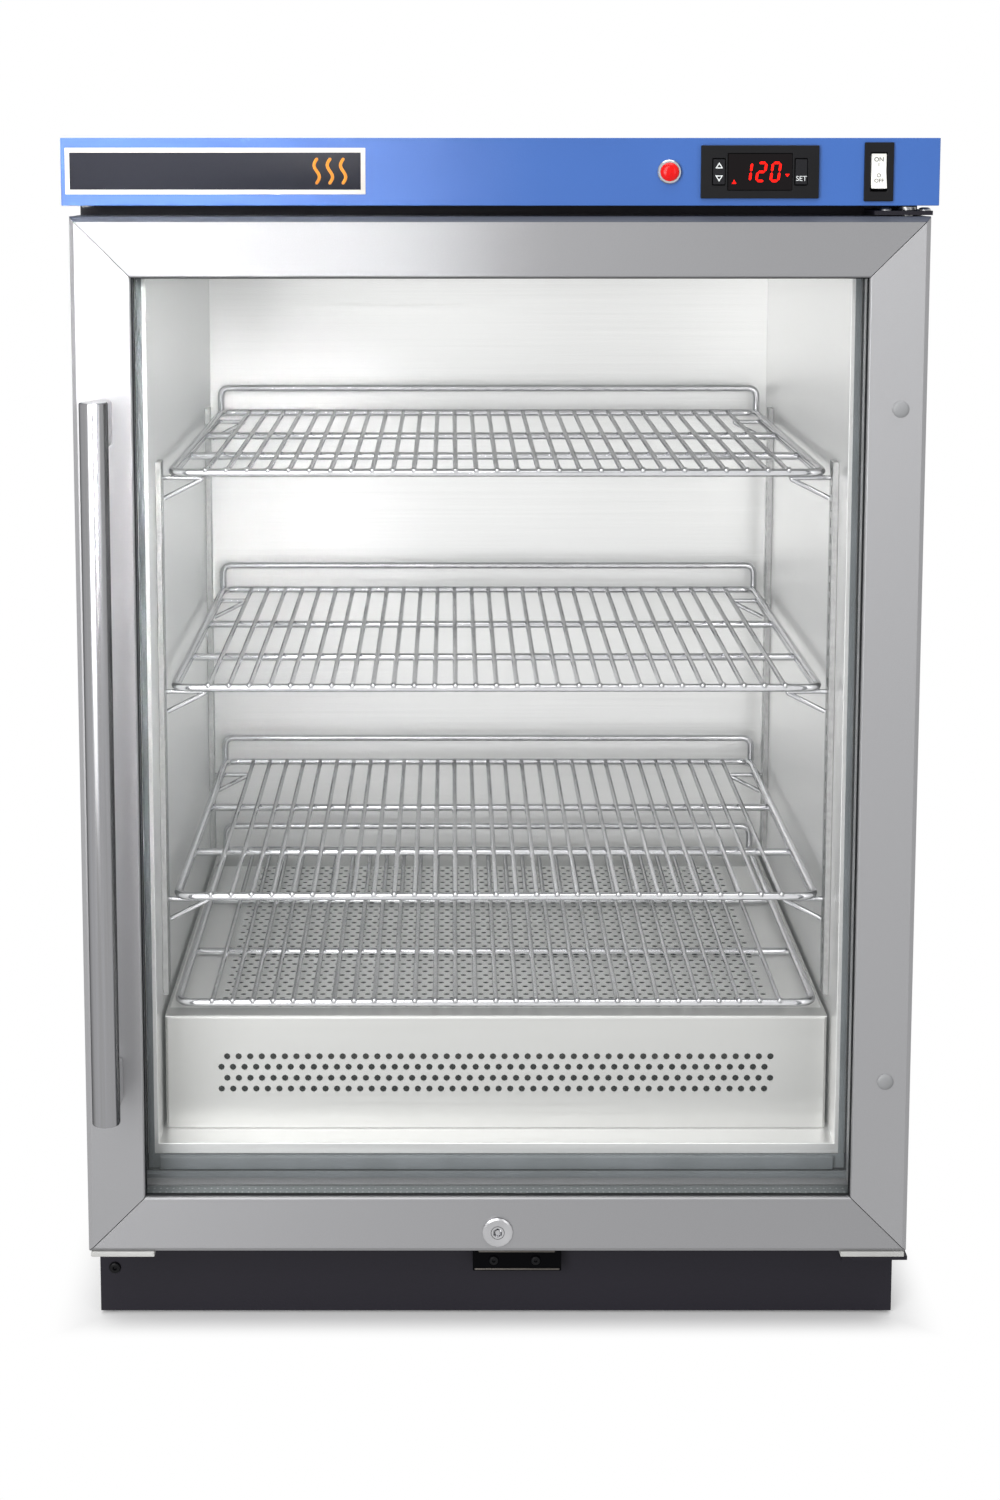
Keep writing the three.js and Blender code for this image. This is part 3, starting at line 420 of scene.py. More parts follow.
class Palette:
    """The cabinet's finishes, each made once."""

    BLUE = Enamel("blue_enamel", (50, 95, 168), 0.34, gloss=0.5)
    BLACK = Enamel("black_enamel", (28, 26, 34), 0.45, 0.4, 0.2)
    # Painted shade: the rails are the stiles' metal made darker, for the darker reflection that the rails
    # take
    STILE = BrushedMetal("stile_metal", (157, 157, 159), 0.4, Grain.SATIN, 0.035, "Z", 0.7)
    RAIL = BrushedMetal("rail_metal", (144, 144, 146), 0.4, Grain.SATIN, 0.035, "X", 0.7)
    HANDLE = BrushedMetal("handle_metal", (150, 150, 152), 0.2, Grain.UPRIGHT, 0.03, rim=0.2)
    # Painted light: the bar's steel made lighter for its posts and end discs, to stand for the light on
    # their faces
    POST = BrushedMetal("post_metal_painted_light", (196, 196, 198), 0.35, Grain.UPRIGHT, 0.03, metallic=0.7)
    LINER = BrushedMetal("liner_steel", (245, 245, 244), 0.36, Grain.ACROSS, 0.012, metallic=0.75)
    # Painted light: the cover's top deck is its front's steel made lighter, as the top gets less light than
    # the front
    COVER = BrushedMetal("cover_steel", (202, 202, 200), 0.45, Grain.ACROSS, 0.012, metallic=0.85)
    DECK = BrushedMetal("deck_steel_painted_light", (244, 244, 242), 0.5, Grain.ACROSS, 0.012, metallic=0.7)
    FITTING = BrushedMetal("fitting_steel", (172, 172, 172), 0.35)
    ELEMENT = BrushedMetal("element_steel", (92, 88, 84), 0.5)
    CHROME = Plated("shelf_chrome", (226, 226, 229), 0.12, 0.6)
    BRIGHT = Plated("bright_chrome", (196, 196, 198), 0.1, 0.4)
    LOCK = Plated("lock_chrome", (188, 188, 190), 0.24)
    SILVER = Enamel("badge_silver", (204, 200, 192), 0.5, 0.1, 0.3)
    CASE = Moulded("black_plastic", (15, 15, 17), 0.45, gloss=0.15)
    WINDOW = Moulded("display_window", (11, 6, 8), 0.15, 0.02, 0.15)
    KEY = Moulded("key_rubber", (24, 24, 27), 0.6, gloss=0.15)
    PRINT = Moulded("key_print", (224, 228, 228), 0.6, 0.1)
    INK = Moulded("switch_ink", (24, 24, 26), 0.6, 0.1, 0.2)
    ROCKER = Moulded("white_plastic", (236, 235, 228), 0.35, 0.1)
    GASKET = Moulded("gasket_rubber", (99, 104, 108), 0.6, 0.5)
    SEAL = Moulded("glazing_rubber", (24, 25, 27), 0.55, 0.3, 0.2)
    SILL = Moulded("sill_plastic", (112, 117, 121), 0.5, 0.2)
    SPACER = BrushedMetal("spacer_metal", (128, 133, 135), 0.4, Grain.NONE, 0.03)
    VENT = Moulded("spacer_vents", (176, 180, 182), 0.6)
    PAD = Moulded("pad_plastic", (190, 190, 188), 0.5)
    PLUG = Moulded("plug_plastic", (142, 143, 145), 0.45, 0.1)
    STRIKE = Enamel("strike_black", (5, 5, 7), 0.4, 0.1, 0.03)
    SCREW = Enamel("screw_black", (12, 12, 14), 0.3, 0.1, 0.14)
    # Painted shade: a dark slate for the top rail's edge, which stands for the rail mirroring the shade
    # under the cap
    EDGE = Enamel("painted_shade_edge_slate", (80, 84, 95), 0.4, 0.1, 0.2)
    # Painted shade: a dark sheet under the heater cover, so that its holes look dark inside
    HOLE_SHADE = Enamel("hole_shade_black", (30, 30, 32), 0.6, 0.1, 0.1)
    FIELD = Enamel("badge_field", (34, 35, 42), 0.4, 0.1, 0.08)
    EMBER = Enamel("badge_ember", (222, 138, 38), 0.4, 0.1)
    GLASS = Pane("pane_glass", (232, 240, 238), 0.015)
    DIGIT = Lit("display_red", (255, 20, 12), 1.8)
    LENS = Lit("lamp_lens", (206, 2, 4), 0.3, 0.15, 0.25)
    FOAM = Wool("insulation", (206, 196, 160))

    def __init__(self) -> None:
        """Starts with no material made."""
        self.made: dict[str, bpy.types.Material] = {}

    def material(self, finish: Finish) -> bpy.types.Material:
        """The material of a finish.

        Args:
            finish: one of the finishes above.

        Returns:
            Its material, made on the first call.
        """
        if finish.name not in self.made:
            self.made[finish.name] = finish.make()
        return self.made[finish.name]


# Meshes


class Mesher:
    """Gathers the faces of one piece."""

    DOME_DEGREES = (35, 65, 85)
    POINT_MM = 0.02

    def __init__(self) -> None:
        """Starts an empty mesh."""
        self.bm = bmesh.new()

    def face(self, points: list[Vector]) -> None:
        """Adds one face on its own corners."""
        self.bm.faces.new([self.bm.verts.new(point) for point in points])

    def loft(self, rings: list[list[Vector]], closed_rings: bool = True, loop: bool = False) -> None:
        """Skins a row of rings.

        Args:
            rings: the rings, each with as many points.
            closed_rings: whether each ring's last point joins its first.
            loop: whether the last ring joins the first.
        """
        rows = [[self.bm.verts.new(point) for point in ring] for ring in rings]
        count = len(rows[0])
        spans = count if closed_rings else count - 1
        pairs = list(zip(rows, rows[1:]))
        if loop:
            pairs.append((rows[-1], rows[0]))
        for near, far in pairs:
            for i in range(spans):
                j = (i + 1) % count
                self.bm.faces.new((near[i], near[j], far[j], far[i]))
        if closed_rings and not loop:
            self.bm.faces.new(list(reversed(rows[0])))
            self.bm.faces.new(rows[-1])

    @staticmethod
    def _ring(centre: Vector, side: Vector, other: Vector, radius: float, sides: int) -> list[Vector]:
        """Points evenly round a circle.

        Args:
            centre: its middle.
            side: one way across it.
            other: the other way across it.
            radius: its radius in metres.
            sides: how many points it has.

        Returns:
            The points in order.
        """
        turns = [2 * math.pi * k / sides for k in range(sides)]
        return [centre + (side * math.cos(t) + other * math.sin(t)) * radius for t in turns]

    def sweep(
        self, path: list[Vector], radius: float, sides: int = 12, loop: bool = False, dome: bool = False
    ) -> None:
        """A round bar along a path.

        Args:
            path: the points on its middle line, in metres.
            radius: its radius in metres.
            sides: faces round it.
            loop: whether it closes on itself.
            dome: whether its ends are rounded.
        """
        count = len(path)
        up = Vector((0, 0, 1))
        first = (path[1] - path[0]).normalized()
        if abs(first.dot(up)) > 0.9:
            up = Vector((0, 1, 0))
        side = first.cross(up).normalized()
        rings = []
        for i, point in enumerate(path):
            before = path[i - 1] if (i or loop) else point
            after = path[(i + 1) % count] if (i < count - 1 or loop) else point
            along = (after - before).normalized()
            side = (side - along * side.dot(along)).normalized()
            other = along.cross(side)
            if dome and i == 0:
                rings += self._dome(point, -along, side, other, radius, sides, True)
            rings.append(self._ring(point, side, other, radius, sides))
            if dome and i == count - 1:
                rings += self._dome(point, along, side, other, radius, sides, False)
        self.loft(rings, loop=loop)

    def _dome(
        self, point: Vector, out: Vector, side: Vector, other: Vector, radius: float, sides: int, start: bool
    ) -> list[list[Vector]]:
        """The rings of a bar's rounded end.

        Args:
            point: the end of its middle line.
            out: the way out of the bar.
            side: one way across it.
            other: the other way across it.
            radius: the bar's radius.
            sides: faces round it.
            start: whether it is the bar's first end.

        Returns:
            Rings from the outside in, or from the inside out at the last end.
        """
        rings = []
        for degrees in self.DOME_DEGREES:
            angle = math.radians(degrees)
            centre = point + out * (radius * math.sin(angle))
            rings.append(self._ring(centre, side, other, radius * math.cos(angle), sides))
        return list(reversed(rings)) if start else rings

    def lathe(self, profile: list[Pair], origin: Vector, axis: Vector, sides: int = 32) -> None:
        """A turned form.

        Args:
            profile: pairs of radius and height in millimetres, from one end to the other.
            origin: its foot, in metres.
            axis: the way its height runs.
            sides: faces round it.
        """
        along = axis.normalized()
        side = along.orthogonal().normalized()
        other = along.cross(side)
        rings = []
        for radius, height in profile:
            centre = origin + along * (height * MM)
            rings.append(self._ring(centre, side, other, max(radius, self.POINT_MM) * MM, sides))
        self.loft(rings)

    def block(self, low: Vector, high: Vector, edge: float = 0.0, steps: int = 3) -> None:
        """A box with rounded edges.

        Args:
            low: its lowest corner.
            high: its highest corner.
            edge: the radius of its edges in metres.
            steps: faces across each rounded edge.
        """
        middle, size = (low + high) / 2, high - low
        matrix = Matrix.Translation(middle) @ Matrix.Diagonal((*size, 1.0))
        made = bmesh.ops.create_cube(self.bm, size=1.0, matrix=matrix)
        if edge:
            edges = {line for vert in made["verts"] for line in vert.link_edges}
            bmesh.ops.bevel(
                self.bm, geom=list(edges), offset=edge, segments=steps, affect="EDGES", profile=0.5
            )

    def frame_ring(self, half: float, bottom: float, top: float, profile: list[Pair]) -> None:
        """A mitred ring in the door's plane.

        Args:
            half: half its outer width in millimetres.
            bottom: its lower outer edge.
            top: its upper outer edge.
            profile: pairs of inset from the outer edge and depth, round its section.
        """
        corners = []
        for sx, upper in ((-1, False), (1, False), (1, True), (-1, True)):
            corners.append([
                spot(sx * (half - inset), depth, top - inset if upper else bottom + inset)
                for inset, depth in profile
            ])
        self.loft(corners, loop=True)

    def plate(self, outline: list[Vector], back: Vector) -> None:
        """A flat shape with a thickness.

        Args:
            outline: its front face's corners in order.
            back: the step from the front face to the back.
        """
        self.loft([outline, [point + back for point in outline]])

    def words(self, text: str, size: float, centre: Vector, lift: float, tilt: float = 0.0) -> None:
        """Flat letters that face the front.

        Args:
            text: what they say.
            size: their height in metres.
            centre: the middle of the word.
            lift: how thick they are.
            tilt: how far their face turns down, in radians.
        """
        curve = bpy.data.curves.new("letters", "FONT")
        curve.body = text
        curve.size = size
        curve.align_x = "CENTER"
        curve.align_y = "CENTER"
        curve.extrude = lift / 2
        curve.resolution_u = 3
        holder = bpy.data.objects.new("letters", curve)
        bpy.context.scene.collection.objects.link(holder)
        bpy.context.view_layer.update()
        graph = bpy.context.evaluated_depsgraph_get()
        mesh = bpy.data.meshes.new_from_object(holder.evaluated_get(graph))
        mesh.transform(Matrix.Translation(centre) @ Matrix.Rotation(math.pi / 2 + tilt, 4, "X"))
        self.bm.from_mesh(mesh)
        bpy.data.objects.remove(holder)
        bpy.data.curves.remove(curve)
        bpy.data.meshes.remove(mesh)


def rounded(corners: list[Vector], bend: float, loop: bool = False, steps: int = 6) -> list[Vector]:
    """A path whose corners are bent in an arc.

    Args:
        corners: the corners in order, in metres.
        bend: how far from a corner its bend starts.
        loop: whether the last corner joins the first.
        steps: points along each bend.

    Returns:
        The bent path's points.
    """
    count = len(corners)
    path = []
    for i, corner in enumerate(corners):
        if not loop and i in (0, count - 1):
            path.append(corner)
            continue
        start = corner + (corners[i - 1] - corner).normalized() * bend
        end = corner + (corners[(i + 1) % count] - corner).normalized() * bend
        for k in range(steps + 1):
            t = k / steps
            path.append(start * (1 - t) ** 2 + corner * (2 * t * (1 - t)) + end * t**2)
    return path


# A pan-head screw's section, as parts of its head's radius
SCREW_SECTION: tuple[Pair, ...] = (
    (1.0, 0.0), (1.0, 0.175), (0.85, 0.4), (0.5, 0.5), (0.36, 0.5), (0.198, 0.15), (0.0, 0.125),
)
SCREW_SIDES = 20


def screw(mesher: Mesher, place: Vector, out: Vector, radius: float) -> None:
    """A pan-head screw with a round recess.

    Args:
        mesher: takes its faces.
        place: the middle of its seat.
        out: the way its head points.
        radius: its head's radius in millimetres.
    """
    section = [(radius * across, radius * rise) for across, rise in SCREW_SECTION]
    mesher.lathe(section, place, out, SCREW_SIDES)


# Finishing


class Ease(Enum):
    """How far a solid's edges are eased, in millimetres."""

    NONE = 0.0
    FINE = 0.25
    CRISP = 0.4
    SOFT = 0.5
    BLUNT = 0.6
    ROUND = 0.8
    FOLD = 1.2
    BEND = 1.6


class Dresser:
    """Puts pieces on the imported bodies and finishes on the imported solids."""

    SMOOTH_DEG = 32
    SHARP_DEG = 38
    EASE_DEG = 35
    FLAT_DEG = 0.5
    WELD_GAP = 0.00001
    EASE_STEPS = 3
    LEVEL_WEIGHT = 100

    def __init__(self, nodes: dict[str, bpy.types.Object]) -> None:
        """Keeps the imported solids.

        Args:
            nodes: the solids by name.
        """
        self.nodes = nodes
        self.palette = Palette()
        self.smoother = self._smoother()

    def _smoother(self) -> bpy.types.NodeTree:
        """A node group that shades smooth between faces that meet at a low angle."""
        group = bpy.data.node_groups.new("smooth_by_angle", "GeometryNodeTree")
        group.interface.new_socket("Geometry", in_out="INPUT", socket_type="NodeSocketGeometry")
        group.interface.new_socket("Geometry", in_out="OUTPUT", socket_type="NodeSocketGeometry")
        entry, leave = group.nodes.new("NodeGroupInput"), group.nodes.new("NodeGroupOutput")
        faces, edges = (group.nodes.new("GeometryNodeSetShadeSmooth") for _ in range(2))
        edges.domain = "EDGE"
        angle = group.nodes.new("GeometryNodeInputMeshEdgeAngle")
        low = group.nodes.new("FunctionNodeCompare")
        low.operation = "LESS_THAN"
        low.inputs["B"].default_value = math.radians(self.SMOOTH_DEG)
        group.links.new(angle.outputs["Unsigned Angle"], low.inputs["A"])
        group.links.new(low.outputs["Result"], edges.inputs["Shade Smooth"])
        group.links.new(entry.outputs[0], faces.inputs["Geometry"])
        group.links.new(faces.outputs["Geometry"], edges.inputs["Geometry"])
        group.links.new(edges.outputs["Geometry"], leave.inputs[0])
        return group

    def finish_node(self, name: str, finish: Finish, edge: Ease = Ease.NONE) -> None:
        """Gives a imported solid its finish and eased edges.

        Args:
            name: the solid's name.
            finish: its finish.
            edge: how far its edges are eased.
        """
        node = self.nodes[name]
        for material_slot in node.material_slots:
            material_slot.material = self.palette.material(finish)
        weld = node.modifiers.new("weld", "WELD")
        weld.merge_threshold = self.WELD_GAP
        if edge is not Ease.NONE:
            flat = node.modifiers.new("flat_faces", "DECIMATE")
            flat.decimate_type = "DISSOLVE"
            flat.angle_limit = math.radians(self.FLAT_DEG)
            ease = node.modifiers.new("eased_edges", "BEVEL")
            ease.width = edge.value * MM
            ease.segments = self.EASE_STEPS
            ease.limit_method = "ANGLE"
            ease.angle_limit = math.radians(self.EASE_DEG)
            ease.use_clamp_overlap = True
        smooth = node.modifiers.new("smooth", "NODES")
        smooth.node_group = self.smoother
        level = node.modifiers.new("flat_face_normals", "WEIGHTED_NORMAL")
        level.weight = self.LEVEL_WEIGHT
        level.keep_sharp = True

    def add(
        self, name: str, mesher: Mesher, finish: Finish, body: str, slot: str, replaces: tuple[str, ...] = ()
    ) -> bpy.types.Object:
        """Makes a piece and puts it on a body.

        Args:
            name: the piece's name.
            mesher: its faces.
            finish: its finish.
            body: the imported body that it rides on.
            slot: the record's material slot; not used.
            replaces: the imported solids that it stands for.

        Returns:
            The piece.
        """
        mesh = bpy.data.meshes.new(name)
        bmesh.ops.recalc_face_normals(mesher.bm, faces=mesher.bm.faces)
        mesher.bm.to_mesh(mesh)
        mesher.bm.free()
        mesh.shade_smooth()
        mesh.set_sharp_from_angle(angle=math.radians(self.SHARP_DEG))
        mesh.materials.append(self.palette.material(finish))
        piece = bpy.data.objects.new(name, mesh)
        bpy.context.scene.collection.objects.link(piece)
        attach(piece, body)
        if replaces:
            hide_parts(*replaces)
        LOG.info("%s: %d faces on %s", name, len(mesh.polygons), body)
        return piece


# Sub-assemblies
# Sizes are in millimetres, and depths run back from the door's front face


@dataclass
class Shell:
    """The painted outside of the cabinet with its base, feet and screws."""

    kick_screw: Triple = (-284.0, 52.0, 36.0)
    kick_head: float = 4.4
    strike_screws: Pair = (-2.0, 29.0)
    strike_screw_z: float = 47.5
    strike_head: float = 3.6
    strike_front: float = 40.0
    # Painted highlights along the strike's folded edges, as left end, right end and height
    strike_highlight_lines: tuple[Triple, ...] = ((-12.6, 42.6, 54.3), (-15.5, 46.0, 40.6))
    strike_highlight_radius: float = 0.8
    strike_highlight_sides: int = 10
    hinge_screws: Pair = (266.0, 293.0)
    hinge_screw_depth: float = 15.0
    hinge_plate_top: float = 821.4
    hinge_head: float = 4.2
    spare_screw: Pair = (-284.0, 15.0)
    cap_bottom: float = 825.0
    back_plane: float = 557.3
    back_head: float = 4.0
    back_screw_x: float = 283.0
    back_screw_heights: tuple[float, ...] = (46.0, 236.0, 426.0, 616.0, 806.0)
    back_screw_rows: tuple[float, ...] = (-142.0, 0.0, 142.0)

    def dress(self, dresser: Dresser) -> None:
        """Finishes the shell's solids and adds the painted highlights on the strike and the screws.

        Args:
            dresser: puts them on the cabinet.
        """
        for name in ("outer_wrapper", "back_panel", "base_pan", "kick_plate"):
            dresser.finish_node(name, Palette.BLACK, Ease.CRISP)
        for name in ("upper_hinge_bracket", "lower_hinge_bracket"):
            dresser.finish_node(name, Palette.BLACK, Ease.SOFT)
        dresser.finish_node("lock_strike", Palette.STRIKE, Ease.BLUNT)
        for name in ("upper_hinge_pin", "lower_hinge_pin"):
            dresser.finish_node(name, Palette.FITTING)
        for end in ("front", "rear"):
            for side in ("left", "right"):
                dresser.finish_node(f"foot_{end}_{side}", Palette.CASE, Ease.BLUNT)
        dresser.finish_node("insulation_foam", Palette.FOAM)
        self._strike_highlights(dresser)
        self._screws(dresser)

    def _strike_highlights(self, dresser: Dresser) -> None:
        """Adds two lighter rods along the strike's folded edges, which are real: the rods' light colour is a
        painted highlight for light caught on the folds.

        Args:
            dresser: puts them on the cabinet.
        """
        edges = Mesher()
        for left, right, z in self.strike_highlight_lines:
            path = [spot(left, self.strike_front, z), spot(right, self.strike_front, z)]
            edges.sweep(path, self.strike_highlight_radius * MM, self.strike_highlight_sides, dome=True)
        dresser.add("strike_painted_highlights", edges, Palette.ELEMENT, "cabinet", "fitting_steel")

    def _screws(self, dresser: Dresser) -> None:
        """Adds the screws that show.

        Args:
            dresser: puts them on the cabinet.
        """
        dark, bright = Mesher(), Mesher()
        front, up, rear = Vector((0, -1, 0)), Vector((0, 0, 1)), Vector((0, 1, 0))
        screw(dark, spot(*self.kick_screw), front, self.kick_head)
        for x in self.strike_screws:
            screw(dark, spot(x, self.strike_front, self.strike_screw_z), front, self.strike_head)
        for x in self.hinge_screws:
            screw(bright, spot(x, self.hinge_screw_depth, self.hinge_plate_top), up, self.hinge_head)
        x, depth = self.spare_screw
        screw(bright, spot(x, depth, self.cap_bottom), -up, self.hinge_head)
        for z in self.back_screw_heights:
            for sign in (-1, 1):
                screw(dark, spot(sign * self.back_screw_x, self.back_plane, z), rear, self.back_head)
        for x in self.back_screw_rows:
            for z in (self.back_screw_heights[0], self.back_screw_heights[-1]):
                screw(dark, spot(x, self.back_plane, z), rear, self.back_head)
        dresser.add("shell_screws", dark, Palette.SCREW, "cabinet", "black_enamel")
        dresser.add("hinge_screws", bright, Palette.FITTING, "cabinet", "fitting_steel")


@dataclass
class Cap:
    """The blue cap with its badge plate, lamp, controller and switch."""

    control_z: float = 848.0
    badge_left: float = -297.0
    badge_right: float = -92.0
    badge_bottom: float = 832.7
    badge_top: float = 864.3
    badge_rise: float = 0.9
    badge_gap: float = 0.02
    badge_ease: float = 0.4
    border: float = 3.2
    field_rise: float = 0.25
    field_sink: float = 0.1
    field_ease: float = 0.1
    wave_count: int = 3
    wave_inset: float = 12.0
    wave_pitch: float = 9.0
    wave_swing: float = 1.8
    wave_height: float = 16.0
    wave_steps: int = 12
    wave_rise: float = 0.3
    wave_radius: float = 1.1
    wave_sides: int = 8
    controller_x: float = 176.8
    window_front: float = -3.7
    reading: str = "120"
    reading_offset: float = 0.8
    digit_height: float = 12.2
    digit_width: float = 5.2
    digit_pitch: float = 9.7
    digit_slant: float = 0.13
    stroke: float = 1.6
    stroke_gap: float = 0.35
    mark_rise: float = 0.15
    mark_sheet: float = 0.14
    low_signal: Pair = (-17.7, -6.7)
    low_bar: tuple[Pair, ...] = ((-1.4, -1.3), (1.4, -1.3), (1.4, -0.7), (-1.4, -0.7))
    low_peak: tuple[Pair, ...] = ((-0.9, -0.4), (0.9, -0.4), (0.0, 1.4))
    side_signal: Pair = (18.5, -2.4)
    side_wedge: tuple[Pair, ...] = ((0.0, -1.0), (1.5, 1.0), (-1.5, 1.0))
    key_offset: float = 28.0
    key_front: float = -4.3
    arrow_outer: Triple = (2.6, 2.4, 6.6)
    arrow_inner: Triple = (1.5, 3.1, 5.2)
    set_drop: float = 4.6
    set_height: float = 4.8
    set_rise: float = 0.1
    set_sheet: float = 0.12
    switch_x: float = 258.0
    switch_words: tuple[tuple[str, float, float], ...] = (
        ("ON", 7.9, 4.2), ("I", 4.4, 3.4), ("O", -2.9, 3.8), ("OFF", -6.6, 3.8),
    )
    switch_rise: float = 0.05
    switch_sheet: float = 0.2
    rocker_pivot: float = 1.5
    rocker_tilt_deg: float = 8.0
    rocker_waist: float = 2.2
    rocker_ear: float = 4.2
    rocker_half: float = 12.0
    screw_depths: Pair = (90.0, 470.0)
    screw_side: float = 299.0
    screw_z: float = 837.0
    screw_head: float = 2.0
    segments: dict[str, str] = field(default_factory=lambda: {"1": "bc", "2": "abged", "0": "abcdef"})

    def dress(self, dresser: Dresser) -> None:
        """Finishes the cap's solids and adds its trim.

        Args:
            dresser: puts them on the cabinet.
        """
        dresser.finish_node("top_cap", Palette.BLUE, Ease.BEND)
        dresser.finish_node("pilot_lamp_bezel", Palette.BRIGHT)
        dresser.finish_node("pilot_lamp_lens", Palette.LENS)
        dresser.finish_node("controller_case", Palette.CASE, Ease.SOFT)
        dresser.finish_node("controller_window", Palette.WINDOW)
        for name in ("adjust_key", "set_key"):
            dresser.finish_node(name, Palette.KEY, Ease.CRISP)
        dresser.finish_node("switch_bezel", Palette.CASE, Ease.BLUNT)
        dresser.finish_node("switch_rocker", Palette.ROCKER, Ease.CRISP)
        dresser.finish_node("power_inlet", Palette.CASE, Ease.BLUNT)
        self._badge(dresser)
        self._display(dresser)
        self._key_marks(dresser)
        self._switch_marks(dresser)
        self._screws(dresser)

    def _badge(self, dresser: Dresser) -> None:
        """Adds the bare plate with a plain mark for heat.

        Args:
            dresser: puts it on the cabinet.
        """
        plate, inset, mark = Mesher(), Mesher(), Mesher()
        face = -self.badge_rise
        plate.block(
            spot(self.badge_left, face, self.badge_bottom),
            spot(self.badge_right, -self.badge_gap, self.badge_top),
            self.badge_ease * MM,
        )
        low, high = self.badge_bottom + self.border, self.badge_top - self.border
        left, right = self.badge_left + self.border, self.badge_right - self.border
        inset.block(
            spot(left, face - self.field_rise, low),
            spot(right, face + self.field_sink, high),
            self.field_ease * MM,
        )
        foot = (low + high - self.wave_height) / 2
        for k in range(self.wave_count):
            middle = right - self.wave_inset - self.wave_pitch * k
            path = []
            for step in range(self.wave_steps + 1):
                part = step / self.wave_steps
                x = middle + self.wave_swing * math.sin(2 * math.pi * part)
                path.append(spot(x, face - self.wave_rise, foot + self.wave_height * part))
            mark.sweep(path, self.wave_radius * MM, self.wave_sides, dome=True)
        dresser.add("badge_plate", plate, Palette.SILVER, "cabinet", "fitting_steel")
        dresser.add("badge_field", inset, Palette.FIELD, "cabinet", "black_enamel")
        dresser.add("badge_heat_mark", mark, Palette.EMBER, "cabinet", "lamp_lens")

    def _display(self, dresser: Dresser) -> None:
        """Adds the lit digits and the small signal marks beside them.

        Args:
            dresser: puts them on the cabinet.
        """
        lit = Mesher()
        half_w, half_h = self.digit_width / 2, self.digit_height / 2
        bars = {
            "a": ((-half_w, half_h), (half_w, half_h)),
            "b": ((half_w, half_h), (half_w, 0.0)),
            "c": ((half_w, 0.0), (half_w, -half_h)),
            "d": ((-half_w, -half_h), (half_w, -half_h)),
            "e": ((-half_w, 0.0), (-half_w, -half_h)),
            "f": ((-half_w, half_h), (-half_w, 0.0)),
            "g": ((-half_w, 0.0), (half_w, 0.0)),
        }
        half_count = (len(self.reading) - 1) / 2
        for index, digit in enumerate(self.reading):
            middle = self.controller_x + self.reading_offset + (index - half_count) * self.digit_pitch
            for name in self.segments[digit]:
                self._segment(lit, middle, *bars[name])
        signals = (
            (self.low_signal, self.low_bar),
            (self.low_signal, self.low_peak),
            (self.side_signal, self.side_wedge),
        )
        for (x, z), shape in signals:
            self._mark(lit, [(x + dx, z + dz) for dx, dz in shape], self.window_front)
        dresser.add("display_digits", lit, Palette.DIGIT, "cabinet", "lamp_lens")

    def _segment(self, mesher: Mesher, middle: float, start: Pair, end: Pair) -> None:
        """One lit bar of a digit.

        Args:
            mesher: takes its faces.
            middle: the digit's middle along X.
            start: where the bar starts, from the digit's middle.
            end: where it ends.
        """
        (x0, z0), (x1, z1) = start, end
        length = math.hypot(x1 - x0, z1 - z0)
        ux, uz = (x1 - x0) / length, (z1 - z0) / length
        half, gap = self.stroke / 2, self.stroke_gap
        outline = [
            (gap, 0.0), (half + gap, half), (length - half - gap, half),
            (length - gap, 0.0), (length - half - gap, -half), (half + gap, -half),
        ]
        corners = []
        for along, across in outline:
            x, z = x0 + ux * along - uz * across, z0 + uz * along + ux * across
            corners.append((middle - self.controller_x + x + z * self.digit_slant, z))
        self._mark(mesher, corners, self.window_front)

    def _mark(self, mesher: Mesher, corners: list[Pair], face: float) -> None:
        """A thin flat mark on the controller.

        Args:
            mesher: takes its faces.
            corners: its corners from the controller's middle, in millimetres.
            face: the depth of the face that it lies on.
        """
        front = face - self.mark_rise
        outline = [spot(self.controller_x + x, front, self.control_z + z) for x, z in corners]
        mesher.plate(outline, Vector((0, self.mark_sheet * MM, 0)))

    def _key_marks(self, dresser: Dresser) -> None:
        """Adds the arrows on one key and the word on the other.

        Args:
            dresser: puts them on the keys.
        """
        arrows, word = Mesher(), Mesher()
        x = -self.key_offset
        for way in (1, -1):
            outer, inner = (
                [(x - half, way * foot), (x + half, way * foot), (x, way * tip)]
                for half, foot, tip in (self.arrow_outer, self.arrow_inner)
            )
            for i in range(3):
                j = (i + 1) % 3
                self._mark(arrows, [outer[i], outer[j], inner[j], inner[i]], self.key_front)
        place = spot(
            self.controller_x + self.key_offset,
            self.key_front - self.set_rise,
            self.control_z - self.set_drop,
        )
        word.words("SET", self.set_height * MM, place, self.set_sheet * MM)
        dresser.add("adjust_key_arrows", arrows, Palette.PRINT, "adjust", "white_plastic")
        dresser.add("set_key_word", word, Palette.PRINT, "set", "white_plastic")

    def _switch_marks(self, dresser: Dresser) -> None:
        """Adds the words and signs on the rocker's two faces.

        Args:
            dresser: puts them on the switch.
        """
        marks = Mesher()
        slope = (self.rocker_ear - self.rocker_waist) / self.rocker_half
        rest = math.radians(self.rocker_tilt_deg)
        for text, along, size in self.switch_words:
            out = -self.rocker_waist - slope * abs(along) - self.switch_rise
            depth = self.rocker_pivot + out * math.cos(rest) + along * math.sin(rest)
            rise = along * math.cos(rest) - out * math.sin(rest)
            tilt = math.copysign(math.atan(slope), along) - rest
            place = spot(self.switch_x, depth, self.control_z + rise)
            marks.words(text, size * MM, place, self.switch_sheet * MM, tilt)
        dresser.add("switch_marks", marks, Palette.INK, "switch", "black_plastic")

    def _screws(self, dresser: Dresser) -> None:
        """Adds the screws that hold the cap at its sides.

        Args:
            dresser: puts them on the cabinet.
        """
        mesher = Mesher()
        for sign in (-1, 1):
            for depth in self.screw_depths:
                place = spot(sign * self.screw_side, depth, self.screw_z)
                screw(mesher, place, Vector((sign, 0, 0)), self.screw_head)
        dresser.add("cap_screws", mesher, Palette.BLUE, "cabinet", "blue_enamel")


